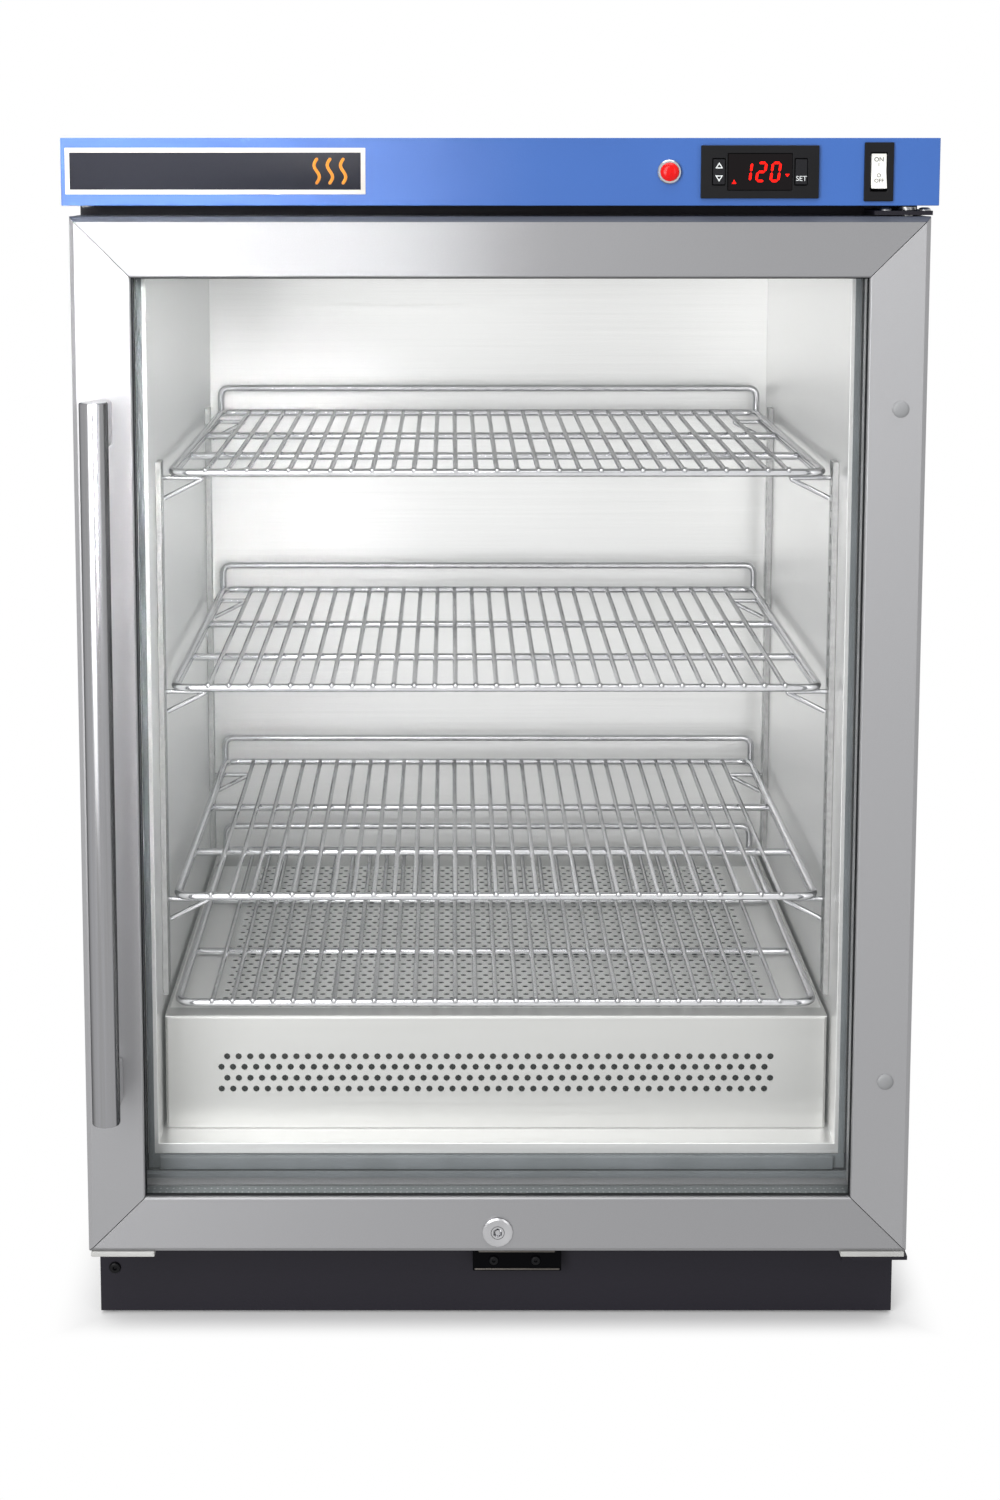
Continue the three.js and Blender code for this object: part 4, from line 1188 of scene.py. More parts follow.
@dataclass
class HeatedSpace:
    """The bright liner with its shelves, brackets, standards and heater cover."""

    shelf_heights: dict[str, float] = field(
        default_factory=lambda: {"upper": 628.8, "middle": 468.6, "lower": 309.8}
    )
    rack_height: float = 227.6
    half_width: float = 238.5
    front: float = 88.0
    back: float = 482.0
    rod: float = 3.0
    rod_sides: int = 12
    wire: float = 1.9
    wire_sides: int = 8
    weld: float = 2.4
    weld_sides: int = 10
    wire_pitch: float = 15.2
    wire_count: int = 29
    wire_rise: float = 0.8
    wire_reach: float = 1.2
    tip_run: float = 6.0
    tip_rise: float = 0.8
    weld_reach: Pair = (1.5, 1.0)
    weld_rise: float = 1.3
    cross_depths: Pair = (215.0, 345.0)
    cross_drop: float = 4.2
    cross_inset: float = 2.0
    stop_foot: float = 1.0
    stop_rise: float = 22.0
    stop_bend: float = 8.0
    corner: float = 14.0
    standard_depths: Pair = (98.0, 455.0)
    standard_half: float = 8.0
    standard_wall: float = 249.7
    standard_face: float = 245.7
    standard_back_gap: float = 0.2
    slot_depth: float = 1.0
    slot_pitch: float = 12.0
    slot_height: float = 7.0
    slot_width: float = 4.0
    bracket_face: float = 245.4
    bracket_reach: float = 31.0
    bracket_drop: float = 15.0
    bracket_wire: float = 1.8
    bracket_sides: int = 10
    bracket_gap: float = 0.3
    bracket_bend: float = 4.0
    hook_inset: float = 0.2
    foot_inset: float = 1.4
    runner_inset: float = 7.0
    trim_outer: Triple = (257.4, 113.9, 789.0)
    trim_inner: Triple = (253.0, 124.4, 785.0)
    trim_depths: Pair = (51.6, 52.25)
    trim_ease: Pair = (0.1, 0.2)
    sill_half: float = 249.0
    sill: Pair = (113.9, 124.0)
    sill_front: float = 47.8
    sill_ease: float = 1.0

    def dress(self, dresser: Dresser) -> None:
        """Finishes the liner and builds what stands in it.

        Args:
            dresser: puts the pieces on their bodies.
        """
        dresser.finish_node("inner_liner", Palette.LINER, Ease.FOLD)
        dresser.finish_node("heating_element", Palette.ELEMENT)
        dresser.finish_node("fan_frame", Palette.CASE)
        dresser.finish_node("fan_rotor", Palette.CASE)
        dresser.finish_node("temp_probe", Palette.FITTING)
        for name, height in self.shelf_heights.items():
            self._shelf(dresser, f"shelf_{name}", f"{name}_shelf", height)
            for side, sign in (("left", -1), ("right", 1)):
                self._bracket(dresser, f"shelf_{name}_bracket_{side}", sign, height)
        self._shelf(dresser, "floor_rack", "bottom_rack", self.rack_height)
        for end, depth in zip(("front", "rear"), self.standard_depths):
            for side, sign in (("left", -1), ("right", 1)):
                self._standard(dresser, f"shelf_standard_{end}_{side}", sign, depth)
        self._trim(dresser)
        HeaterCover().dress(dresser)

    def _trim(self, dresser: Dresser) -> None:
        """A grey strip round the mouth, over the liner's lip, with a deeper sill at the bottom.

        Args:
            dresser: puts it on the cabinet.
        """
        mesher = Mesher()
        front, back = self.trim_depths
        across, inward = self.trim_ease
        eased = front + inward
        section = (
            (0.0, back), (0.0, eased), (across, front), (1.0 - across, front), (1.0, eased), (1.0, back),
        )
        rings = []
        for sign, level in ((-1, 1), (1, 1), (1, 2), (-1, 2)):
            ring = []
            for part, depth in section:
                x = self.trim_outer[0] * (1 - part) + self.trim_inner[0] * part
                z = self.trim_outer[level] * (1 - part) + self.trim_inner[level] * part
                ring.append(spot(sign * x, depth, z))
            rings.append(ring)
        mesher.loft(rings, loop=True)
        bottom, top = self.sill
        mesher.block(
            spot(-self.sill_half, self.sill_front, bottom),
            spot(self.sill_half, front, top),
            self.sill_ease * MM,
        )
        dresser.add("mouth_trim", mesher, Palette.SILL, "cabinet", "gasket_rubber")

    def _shelf(self, dresser: Dresser, node: str, body: str, height: float) -> None:
        """A wire shelf with a bent rim and a raised back rail.

        Args:
            dresser: puts it on its body.
            node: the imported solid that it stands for.
            body: the body it rides on.
            height: the middle of its rim above the floor.
        """
        mesher = Mesher()
        half, rod = self.half_width, self.rod * MM
        rim = [
            spot(-half, self.front, height), spot(half, self.front, height),
            spot(half, self.back, height), spot(-half, self.back, height),
        ]
        mesher.sweep(rounded(rim, self.corner * MM, True), rod, self.rod_sides, loop=True)
        cross_half, cross_z = half - self.cross_inset, height - self.cross_drop
        for depth in self.cross_depths:
            cross = [spot(-cross_half, depth, cross_z), spot(cross_half, depth, cross_z)]
            mesher.sweep(cross, rod, self.rod_sides, dome=True)
        low, high = height + self.stop_foot, height + self.stop_rise
        rail = [
            spot(-half, self.back, low), spot(-half, self.back, high),
            spot(half, self.back, high), spot(half, self.back, low),
        ]
        mesher.sweep(rounded(rail, self.stop_bend * MM), rod, self.rod_sides)
        first = -self.wire_pitch * (self.wire_count - 1) / 2
        top = height + self.wire_rise
        for i in range(self.wire_count):
            x = first + i * self.wire_pitch
            path = [
                spot(x, self.front - self.wire_reach, top + self.tip_rise),
                spot(x, self.front + self.tip_run, top),
                spot(x, self.back + self.wire_reach, top),
            ]
            mesher.sweep(path, self.wire * MM, self.wire_sides, dome=True)
            bead = [spot(x, self.front - reach, top + self.weld_rise) for reach in self.weld_reach]
            mesher.sweep(bead, self.weld * MM, self.weld_sides, dome=True)
        dresser.add(f"{node}_wires", mesher, Palette.CHROME, body, "shelf_chrome", (node,))

    def _bracket(self, dresser: Dresser, node: str, sign: int, height: float) -> None:
        """A wire bracket that hooks into two standards.

        Args:
            dresser: puts it on the cabinet.
            node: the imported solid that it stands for.
            sign: -1 on the left and 1 on the right.
            height: the shelf's height.
        """
        mesher = Mesher()
        radius, sides = self.bracket_wire * MM, self.bracket_sides
        top = height - self.rod - self.bracket_wire - self.bracket_gap
        tip = self.bracket_face - self.bracket_reach
        for depth in self.standard_depths:
            corners = [
                spot(sign * (self.bracket_face - self.hook_inset), depth, top),
                spot(sign * tip, depth, top),
                spot(sign * (self.bracket_face - self.foot_inset), depth, top - self.bracket_drop),
            ]
            mesher.sweep(rounded(corners, self.bracket_bend * MM), radius, sides)
        x = sign * (self.bracket_face - self.runner_inset)
        runner = [spot(x, depth, top) for depth in self.standard_depths]
        mesher.sweep(runner, radius, sides, dome=True)
        dresser.add(f"{node}_wire", mesher, Palette.CHROME, "cabinet", "shelf_chrome", (node,))

    def _standard(self, dresser: Dresser, node: str, sign: int, depth: float) -> None:
        """A slotted strip on the liner's wall.

        Args:
            dresser: puts it on the cabinet.
            node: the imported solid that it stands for.
            sign: -1 on the left and 1 on the right.
            depth: the strip's middle.
        """
        mesher = Mesher()
        low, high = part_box(node)
        bottom, top = low.z / MM, high.z / MM
        wall, face = self.standard_wall, self.standard_face
        half, slot_half = self.standard_half, self.slot_width / 2
        slot_floor, back = face + self.slot_depth, wall - self.standard_back_gap
        count = int((top - bottom) // self.slot_pitch)
        spare = (top - bottom - count * self.slot_pitch) / 2

        def at(x: float, d: float, z: float) -> Vector:
            """A point of the strip, with its depth from the strip's middle."""
            return spot(sign * x, depth + d, z)

        def quad(d0: float, d1: float, z0: float, z1: float) -> None:
            """One flat part of the strip's face."""
            mesher.face([at(face, d0, z0), at(face, d1, z0), at(face, d1, z1), at(face, d0, z1)])

        for d0, d1 in ((-half, -slot_half), (slot_half, half)):
            quad(d0, d1, bottom, top)
        edges = [bottom]
        for i in range(count):
            middle = bottom + spare + (i + 0.5) * self.slot_pitch
            edges += [middle - self.slot_height / 2, middle + self.slot_height / 2]
        edges.append(top)
        for z0, z1 in zip(edges[::2], edges[1::2]):
            quad(-slot_half, slot_half, z0, z1)
        for d in (-half, half):
            mesher.face([at(face, d, bottom), at(face, d, top), at(wall, d, top), at(wall, d, bottom)])
        for z in (bottom, top):
            mesher.face([at(face, -half, z), at(face, half, z), at(wall, half, z), at(wall, -half, z)])
        for z0, z1 in zip(edges[1:-1:2], edges[2:-1:2]):
            for d in (-slot_half, slot_half):
                mesher.face([
                    at(face, d, z0), at(face, d, z1), at(slot_floor, d, z1), at(slot_floor, d, z0),
                ])
        mesher.face([
            at(back, -half, bottom), at(back, half, bottom), at(back, half, top), at(back, -half, top),
        ])
        dresser.add(f"{node}_strip", mesher, Palette.FITTING, "cabinet", "fitting_steel", (node,))


@dataclass
class HeaterCover:
    """The perforated cover over the element and the fan."""

    half: float = 247.5
    front: float = 80.0
    back: float = 499.7
    bottom: float = 132.8
    top: float = 220.0
    sheet: float = 0.7
    edge: float = 2.0
    bend_degrees: tuple[float, ...] = (0.0, 30.0, 60.0, 90.0)
    columns: int = 48
    pitch: float = 8.66
    radius: float = 2.5
    front_rows: tuple[float, ...] = (163.4, 171.8, 180.4, 188.6)
    top_rows: int = 42
    top_first: float = 102.0
    top_pitch: float = 8.5
    # The painted shade sheet's inset, thickness and upstand height
    shade_inset: float = 3.0
    shade_thickness: float = 1.2
    shade_back_top: float = 216.0

    def dress(self, dresser: Dresser) -> None:
        """Builds the cover and a dark sheet under it, painted shade seen through its holes.

        Args:
            dresser: puts it on the cabinet.
        """
        mesher, deck = Mesher(), Mesher()
        rows_z = list(self.front_rows)
        self._holes(mesher, rows_z, lambda x, v: spot(x, self.front, v), Vector((0, self.sheet * MM, 0)))
        rows_d = [self.top_first + i * self.top_pitch for i in range(self.top_rows)]
        self._holes(deck, rows_d, lambda x, v: spot(x, v, self.top), Vector((0, 0, -self.sheet * MM)))
        self._plain(mesher, rows_z, rows_d)
        dresser.add("heater_cover_sheet", mesher, Palette.COVER, "cabinet", "liner_steel", ("heater_cover",))
        dresser.add("heater_cover_deck", deck, Palette.DECK, "cabinet", "liner_steel")
        self._hole_shade(dresser)

    def _hole_shade(self, dresser: Dresser) -> None:
        """Adds a dark sheet under the element, with an upstand at the back: painted shade, so that the
        cover's holes look dark.

        Args:
            dresser: puts it on the cabinet.
        """
        dark_sheet = Mesher()
        wide, back = self.half - self.shade_inset, self.back - self.shade_inset
        floor = self.bottom + self.shade_thickness
        dark_sheet.block(spot(-wide, self.front + self.shade_inset, self.bottom), spot(wide, back, floor))
        dark_sheet.block(spot(-wide, back - self.shade_thickness, floor), spot(wide, back, self.shade_back_top))
        dresser.add("heater_hole_shade", dark_sheet, Palette.HOLE_SHADE, "cabinet", "black_enamel")

    def _limits(self, rows: list[float]) -> list[float]:
        """The lines between rows of holes, with one outside each end.

        Args:
            rows: the rows' places.

        Returns:
            One more line than there are rows.
        """
        inner = [(a + b) / 2 for a, b in zip(rows, rows[1:])]
        return [rows[0] - (inner[0] - rows[0]), *inner, rows[-1] + (rows[-1] - inner[-1])]

    def _holes(
        self, mesher: Mesher, rows: list[float], place: Callable[[float, float], Vector], through: Vector
    ) -> None:
        """A field of staggered round holes with their walls.

        Args:
            mesher: takes the faces.
            rows: the rows' places across the sheet.
            place: gives the point at an x and a row's place.
            through: the step through the sheet.
        """
        limits = self._limits(rows)
        square = [(1, 0), (1, 1), (0, 1), (-1, 1), (-1, 0), (-1, -1), (0, -1), (1, -1)]
        sides = len(square)
        turns = [2 * math.pi * k / sides for k in range(sides)]
        for index, row in enumerate(rows):
            low, high = limits[index], limits[index + 1]
            levels = {-1: low, 0: row, 1: high}
            stagger = (self.pitch / 4) * (1 if index % 2 else -1)
            first = stagger - self.pitch * (self.columns - 1) / 2
            ends = (first - self.pitch / 2, first + self.pitch * (self.columns - 0.5))
            for x0, x1 in ((-self.half + self.edge, ends[0]), (ends[1], self.half - self.edge)):
                mesher.face([place(x0, low), place(x1, low), place(x1, high), place(x0, high)])
            for i in range(self.columns):
                x = first + i * self.pitch
                rim = [place(x + self.radius * math.cos(t), row + self.radius * math.sin(t)) for t in turns]
                outer = [place(x + a * self.pitch / 2, levels[b]) for a, b in square]
                for k in range(sides):
                    j = (k + 1) % sides
                    mesher.face([outer[k], outer[j], rim[j], rim[k]])
                    mesher.face([rim[k], rim[j], rim[j] + through, rim[k] + through])

    def _plain(self, mesher: Mesher, rows_z: list[float], rows_d: list[float]) -> None:
        """The sheet round the holes, its bent edge and its ends.

        Args:
            mesher: takes the faces.
            rows_z: the front's rows.
            rows_d: the top's rows.
        """
        wide = self.half - self.edge
        z_limits, d_limits = self._limits(rows_z), self._limits(rows_d)
        arc = []
        for turn in (math.radians(degrees) for degrees in self.bend_degrees):
            inward, down = 1 - math.cos(turn), 1 - math.sin(turn)
            arc.append((self.front + self.edge * inward, self.top - self.edge * down))
        section = [(self.front, z_limits[-1]), *arc, (d_limits[0], self.top)]
        strips = [
            [(self.front, self.bottom), (self.front, z_limits[0])],
            section,
            [(d_limits[-1], self.top), (self.back, self.top)],
        ]
        for strip in strips:
            for (d0, z0), (d1, z1) in zip(strip, strip[1:]):
                mesher.face([
                    spot(-wide, d0, z0), spot(wide, d0, z0), spot(wide, d1, z1), spot(-wide, d1, z1),
                ])
        outline = [(self.front, self.bottom), *arc, (self.back, self.top), (self.back, self.bottom)]

        def tucked(depth: float) -> float:
            """A depth at the sheet's ends, where its front edge is eased back."""
            return depth + self.edge if depth == self.front else depth

        for sign in (-1, 1):
            mesher.face([spot(sign * self.half, tucked(d), z) for d, z in outline])
            for (d0, z0), (d1, z1) in zip(outline[:-1], outline[1:-1]):
                mesher.face([
                    spot(sign * wide, d0, z0), spot(sign * wide, d1, z1),
                    spot(sign * self.half, tucked(d1), z1), spot(sign * self.half, tucked(d0), z0),
                ])


@dataclass
class Door:
    """The framed double-glazed door with its seal, handle and lock."""

    half: float = 295.5
    bottom: float = 72.4
    top: float = 817.4
    member: float = 41.5
    gasket_half: float = 272.0
    gasket_bottom: float = 100.0
    gasket_top: float = 790.0
    # Section of the painted shade strip on the top rail's edge, as pairs of inset and depth
    painted_shade_section: tuple[Pair, ...] = (
        (3.55, 0.0), (3.4, -0.15), (-0.15, 3.4), (-0.15, 12.0), (0.0, 12.0), (0.0, 3.55),
    )
    handle_x: float = -275.0
    handle_depth: float = -38.0
    handle_radius: float = 9.8
    handle_ease: Pair = (1.2, 0.3)
    handle_sides: int = 40
    handle_ends_painted_light: Pair = (186.0, 694.0)
    end_sink: float = 0.3
    end_lift: float = 0.05
    post_heights: Pair = (204.0, 676.0)
    post_half: Pair = (7.0, 16.0)
    post_gaps: Pair = (0.05, 0.1)
    post_ease: float = 2.5
    post_steps: int = 4
    plug_heights: Pair = (201.0, 685.0)
    plug_x: float = 277.0
    plug_profile: tuple[Pair, ...] = (
        (5.8, 0.0), (5.8, 0.5), (5.3, 1.0), (3.6, 1.5), (1.6, 1.75), (0.0, 1.8),
    )
    plug_sides: int = 28
    bead_gap: float = 0.05
    bead_section: tuple[Pair, ...] = ((0.0, 3.6), (0.5, 4.2), (0.9, 5.4), (1.0, 6.3), (0.0, 6.3))
    spacer_width: float = 8.0
    vent_pitch: float = 4.6
    vent_radius: float = 0.75
    vent_sides: int = 6
    vent_rows: Pair = (0.3, 0.7)
    vent_lift: float = 0.08
    gasket_profile: tuple[Pair, ...] = (
        (0.6, 42.3), (13.0, 42.3), (13.4, 43.6), (12.2, 45.0), (13.5, 46.6), (13.0, 49.6), (11.0, 51.6),
        (7.0, 52.0), (3.0, 51.6), (0.8, 49.6), (0.0, 46.6), (1.4, 45.0), (0.2, 43.6),
    )

    def dress(self, dresser: Dresser) -> None:
        """Finishes the door's solids and adds its trim.

        Args:
            dresser: puts them on the door.
        """
        for name in ("handle_stile", "hinge_stile"):
            dresser.finish_node(name, Palette.STILE, Ease.FINE)
        for name in ("top_rail", "bottom_rail"):
            dresser.finish_node(name, Palette.RAIL, Ease.FINE)
        for name in ("glass_outer", "glass_inner"):
            dresser.finish_node(name, Palette.GLASS)
        dresser.finish_node("glass_spacer", Palette.SPACER)
        for name in ("door_pad_left", "door_pad_right"):
            dresser.finish_node(name, Palette.PAD, Ease.ROUND)
        dresser.finish_node("lock_housing", Palette.LOCK)
        dresser.finish_node("lock_barrel", Palette.LOCK)
        dresser.finish_node("lock_cam", Palette.FITTING, Ease.CRISP)
        self._painted_shade_edge(dresser)
        self._seals(dresser)
        self._vents(dresser)
        self._handle(dresser)
        self._plugs(dresser)

    def _painted_shade_edge(self, dresser: Dresser) -> None:
        """Adds a dark strip along the top rail's bevelled upper edge, a painted reflection of the shade
        under the cap on the rail's bare metal.

        Args:
            dresser: puts it on the door.
        """
        mesher = Mesher()
        ends = []
        for sign in (-1, 1):
            end = []
            for inset, depth in self.painted_shade_section:
                end.append(spot(sign * (self.half - max(inset, 0.0)), depth, self.top - inset))
            ends.append(end)
        mesher.loft(ends)
        dresser.add("top_edge_painted_shade", mesher, Palette.EDGE, "door", "door_metal")

    def _seals(self, dresser: Dresser) -> None:
        """Adds the bellows seal at the back and the glazing seal at the front.

        Args:
            dresser: puts them on the door.
        """
        seal = Mesher()
        seal.frame_ring(self.gasket_half, self.gasket_bottom, self.gasket_top, list(self.gasket_profile))
        dresser.add("door_gasket_bellows", seal, Palette.GASKET, "door", "gasket_rubber", ("door_gasket",))
        bead = Mesher()
        inner = self.member + self.bead_gap
        profile = [(inner + inset, depth) for inset, depth in self.bead_section]
        bead.frame_ring(self.half, self.bottom, self.top, profile)
        dresser.add("glazing_bead", bead, Palette.SEAL, "door", "gasket_rubber")

    def _vents(self, dresser: Dresser) -> None:
        """Adds the two rows of small vents round the spacer's inner face.

        Args:
            dresser: puts them on the door.
        """
        mesher = Mesher()
        low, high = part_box("glass_spacer")
        left, right = low.x / MM + self.spacer_width, high.x / MM - self.spacer_width
        bottom, top = low.z / MM + self.spacer_width, high.z / MM - self.spacer_width
        depths = [(low.y * (1 - t) + high.y * t) / MM + DOOR_FRONT_MM for t in self.vent_rows]
        turns = [2 * math.pi * k / self.vent_sides for k in range(self.vent_sides)]

        def vent(centre: Triple, upright: bool) -> None:
            """One vent, on an upright or a level face."""
            x, depth, z = centre
            ring = []
            for turn in turns:
                a, b = self.vent_radius * math.cos(turn), self.vent_radius * math.sin(turn)
                ring.append(spot(x, depth + a, z + b) if upright else spot(x + a, depth + b, z))
            mesher.face(ring)

        for depth in depths:
            for i in range(int((right - left) / self.vent_pitch)):
                x = left + (i + 0.5) * self.vent_pitch
                vent((x, depth, bottom + self.vent_lift), False)
                vent((x, depth, top - self.vent_lift), False)
            for i in range(int((top - bottom) / self.vent_pitch)):
                z = bottom + (i + 0.5) * self.vent_pitch
                vent((left + self.vent_lift, depth, z), True)
                vent((right - self.vent_lift, depth, z), True)
        dresser.add("spacer_vents", mesher, Palette.VENT, "door", "door_metal")

    def _handle(self, dresser: Dresser) -> None:
        """Builds the bar with its ends and its two posts; the ends and posts take a lighter copy of the
        bar's steel, a painted light.

        Args:
            dresser: puts them on the door.
        """
        bar, ends = Mesher(), Mesher()
        low, high = self.handle_ends_painted_light
        length, radius = high - low, self.handle_radius
        wide, fine = self.handle_ease
        flat = radius - wide
        foot = [(0.0, 0.0), (flat, 0.0), (radius - fine, fine), (radius, wide)]
        profile = foot + [(across, length - along) for across, along in reversed(foot)]
        bar.lathe(profile, spot(self.handle_x, self.handle_depth, low), Vector((0, 0, 1)), self.handle_sides)
        dresser.add("handle_tube", bar, Palette.HANDLE, "door", "handle_steel", ("handle_bar",))
        disc = [(flat, -self.end_sink), (flat, self.end_lift)]
        for z, way in ((low, -1), (high, 1)):
            place = spot(self.handle_x, self.handle_depth, z)
            ends.lathe(disc, place, Vector((0, 0, way)), self.handle_sides)
        dresser.add("handle_ends_painted_light", ends, Palette.POST, "door", "handle_steel")
        across, along = self.post_half
        bar_gap, door_gap = self.post_gaps
        for name, z in zip(("handle_post_lower", "handle_post_upper"), self.post_heights):
            post = Mesher()
            post.block(
                spot(self.handle_x - across, self.handle_depth + radius + bar_gap, z - along),
                spot(self.handle_x + across, -door_gap, z + along),
                self.post_ease * MM,
                self.post_steps,
            )
            dresser.add(f"{name}_block", post, Palette.POST, "door", "handle_steel", (name,))

    def _plugs(self, dresser: Dresser) -> None:
        """Adds the two hole plugs on the hinge stile.

        Args:
            dresser: puts them on the door.
        """
        mesher, profile = Mesher(), list(self.plug_profile)
        for z in self.plug_heights:
            mesher.lathe(profile, spot(self.plug_x, 0.0, z), Vector((0, -1, 0)), self.plug_sides)
        dresser.add("hinge_stile_plugs", mesher, Palette.PLUG, "door", "pad_plastic")


# Studio


@dataclass(frozen=True)
class Lamp:
    """A soft panel that points at the object, with its places and size in metres."""

    name: str
    place: Triple
    aim: Triple
    size: Pair
    watts: float
    spread_deg: float = 180.0

    def hang(self) -> None:
        """Puts the lamp in the scene, where no camera sees it."""
        data = bpy.data.lights.new(self.name, "AREA")
        data.shape = "RECTANGLE"
        data.spread = math.radians(self.spread_deg)
        data.size, data.size_y = self.size
        data.energy = self.watts
        lamp = bpy.data.objects.new(self.name, data)
        lamp.location = self.place
        lamp.rotation_euler = (Vector(self.aim) - Vector(self.place)).to_track_quat("-Z", "Y").to_euler()
        lamp.visible_camera = False
        bpy.context.scene.collection.objects.link(lamp)


@dataclass
class Studio:
    """The camera, the lamps, the white surround and the pale floor."""

    camera_place: Triple = (-0.034, -1.905, 0.8675)
    pitch_deg: float = 7.1
    lens: float = 57.7
    sensor: float = 36.0
    shift: Pair = (0.033, -0.205)
    world_light: float = 0.42
    floor_radius: float = 7.0
    floor_sides: int = 64
    floor_drop: float = 0.0005
    floor_grey: float = 0.9
    floor_roughness: float = 0.7
    floor_offset: Triple = (0.0, -0.198, 0.0)
    floor_scale: Triple = (3.48, 3.96, 1.0)
    fade_reach: Pair = (1.0, 1.16)
    fade_least: float = 0.1
    lamps: tuple[Lamp, ...] = (
        Lamp("key_left", (-1.08, -2.45, 1.1), (-0.2, 0.0, 0.6), (1.3, 1.9), 46.0),
        Lamp("key_low", (-0.66, -1.35, 0.42), (-0.28, -0.25, 0.42), (0.5, 0.7), 2.6),
        Lamp("fill_right", (1.6, -2.2, 1.2), (0.0, 0.0, 0.5), (0.9, 1.4), 5.5),
        Lamp("front", (-0.5, -2.4, 2.4), (0.0, 0.0, 0.4), (1.2, 0.9), 12.0),
        Lamp("over", (0.0, -0.4, 2.9), (0.0, 0.0, 0.4), (2.2, 2.0), 48.0),
        Lamp("stile_beam", (0.15, -1.6, 1.0), (-0.26, -0.25, 0.67), (0.08, 0.5), 0.78, 22.0),
    )

    def build(self) -> None:
        """Makes the camera, lamps, surround and floor."""
        scene = bpy.context.scene
        scene.view_settings.view_transform = "Standard"
        self._camera(scene)
        self._surround(scene)
        self._floor()
        for lamp in self.lamps:
            lamp.hang()

    def _camera(self, scene: bpy.types.Scene) -> None:
        """Places the camera as the photograph's was.

        Args:
            scene: takes the camera.
        """
        data = bpy.data.cameras.new("camera")
        data.lens = self.lens
        data.sensor_width = self.sensor
        data.shift_x, data.shift_y = self.shift
        camera = bpy.data.objects.new("camera", data)
        camera.location = self.camera_place
        camera.rotation_euler = (math.radians(90 - self.pitch_deg), 0.0, 0.0)
        scene.collection.objects.link(camera)
        scene.camera = camera

    def _surround(self, scene: bpy.types.Scene) -> None:
        """A white surround that lights the object at a plain level.

        Args:
            scene: takes the surround.
        """
        world = bpy.data.worlds.new("surround")
        scene.world = world
        world.use_nodes = True
        tree = world.node_tree
        background = tree.nodes["Background"]
        background.inputs["Color"].default_value = (1.0, 1.0, 1.0, 1.0)
        tree.links.new(seen_directly(tree, self.world_light), background.inputs["Strength"])

    def _floor(self) -> None:
        """Lays the floor under the object."""
        mesh = bpy.data.meshes.new("floor")
        bm = bmesh.new()
        bmesh.ops.create_circle(bm, cap_ends=True, segments=self.floor_sides, radius=self.floor_radius)
        bm.to_mesh(mesh)
        bm.free()
        floor = bpy.data.objects.new("floor", mesh)
        floor.location.z = -self.floor_drop
        bpy.context.scene.collection.objects.link(floor)
        mesh.materials.append(self._floor_white())

    def _floor_white(self) -> bpy.types.Material:
        """A pale finish that keeps the object's shadow and runs out to white.

        Returns:
            The floor's material.
        """
        material = bpy.data.materials.new("floor_white")
        material.use_nodes = True
        tree = material.node_tree
        shader, out = tree.nodes["Principled BSDF"], tree.nodes["Material Output"]
        shader.inputs["Base Color"].default_value = (self.floor_grey, self.floor_grey, self.floor_grey, 1.0)
        shader.inputs["Roughness"].default_value = self.floor_roughness
        white = tree.nodes.new("ShaderNodeEmission")
        mix = tree.nodes.new("ShaderNodeMixShader")
        place = tree.nodes.new("ShaderNodeTexCoord")
        footprint = tree.nodes.new("ShaderNodeMapping")
        footprint.inputs["Location"].default_value = self.floor_offset
        footprint.inputs["Scale"].default_value = self.floor_scale
        sides = tree.nodes.new("ShaderNodeVectorMath")
        sides.operation = "ABSOLUTE"
        axes = tree.nodes.new("ShaderNodeSeparateXYZ")
        reach = tree.nodes.new("ShaderNodeMath")
        reach.operation = "MAXIMUM"
        fade = tree.nodes.new("ShaderNodeMapRange")
        fade.interpolation_type = "SMOOTHSTEP"
        fade.inputs["From Min"].default_value = self.fade_reach[0]
        fade.inputs["From Max"].default_value = self.fade_reach[1]
        fade.inputs["To Min"].default_value = self.fade_least
        tree.links.new(place.outputs["Object"], footprint.inputs["Vector"])
        tree.links.new(footprint.outputs["Vector"], sides.inputs[0])
        tree.links.new(sides.outputs["Vector"], axes.inputs["Vector"])
        tree.links.new(axes.outputs["X"], reach.inputs[0])
        tree.links.new(axes.outputs["Y"], reach.inputs[1])
        tree.links.new(reach.outputs["Value"], fade.inputs["Value"])
        tree.links.new(fade.outputs["Result"], mix.inputs["Fac"])
        tree.links.new(shader.outputs["BSDF"], mix.inputs[1])
        tree.links.new(white.outputs["Emission"], mix.inputs[2])
        tree.links.new(mix.outputs["Shader"], out.inputs["Surface"])
        tree.links.new(seen_directly(tree, self.world_light), white.inputs["Strength"])
        return material


def seen_directly(tree: bpy.types.NodeTree, otherwise: float) -> bpy.types.NodeSocket:
    """A strength of 1 for what is seen, mirrored or seen through glass, and less for light.

    Args:
        tree: takes the nodes.
        otherwise: the strength for all other rays.

    Returns:
        The strength's socket.
    """
    path = tree.nodes.new("ShaderNodeLightPath")
    either = tree.nodes.new("ShaderNodeMath")
    either.operation = "MAXIMUM"
    any_ray = tree.nodes.new("ShaderNodeMath")
    any_ray.operation = "MAXIMUM"
    span = tree.nodes.new("ShaderNodeMapRange")
    span.inputs["To Min"].default_value = otherwise
    span.inputs["To Max"].default_value = 1.0
    tree.links.new(path.outputs["Is Camera Ray"], either.inputs[0])
    tree.links.new(path.outputs["Is Glossy Ray"], either.inputs[1])
    tree.links.new(either.outputs["Value"], any_ray.inputs[0])
    tree.links.new(path.outputs["Is Transmission Ray"], any_ray.inputs[1])
    tree.links.new(any_ray.outputs["Value"], span.inputs["Value"])
    return span.outputs["Result"]


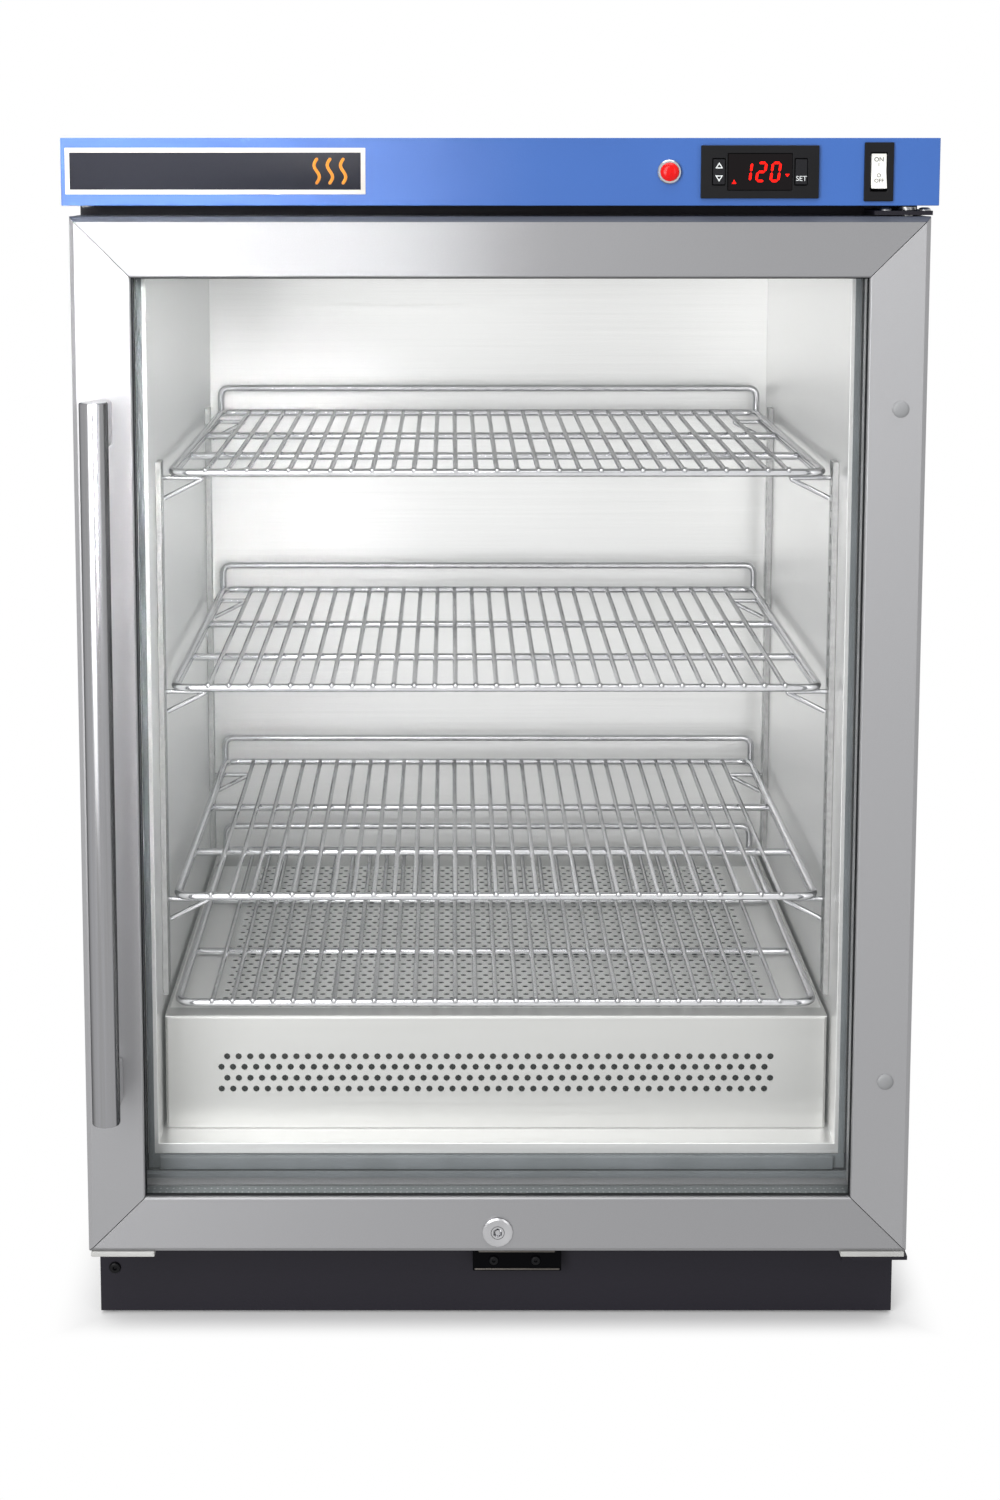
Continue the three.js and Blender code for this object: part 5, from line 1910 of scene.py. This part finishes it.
def main() -> None:
    """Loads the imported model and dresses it."""
    logging.basicConfig(level=logging.INFO, format="%(name)s %(message)s")
    for thing in list(bpy.data.objects):
        bpy.data.objects.remove(thing)
    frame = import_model()
    Studio().build()
    dresser = Dresser(frame["nodes"])
    Shell().dress(dresser)
    Cap().dress(dresser)
    HeatedSpace().dress(dresser)
    Door().dress(dresser)


if __name__ == "__main__":
    main()
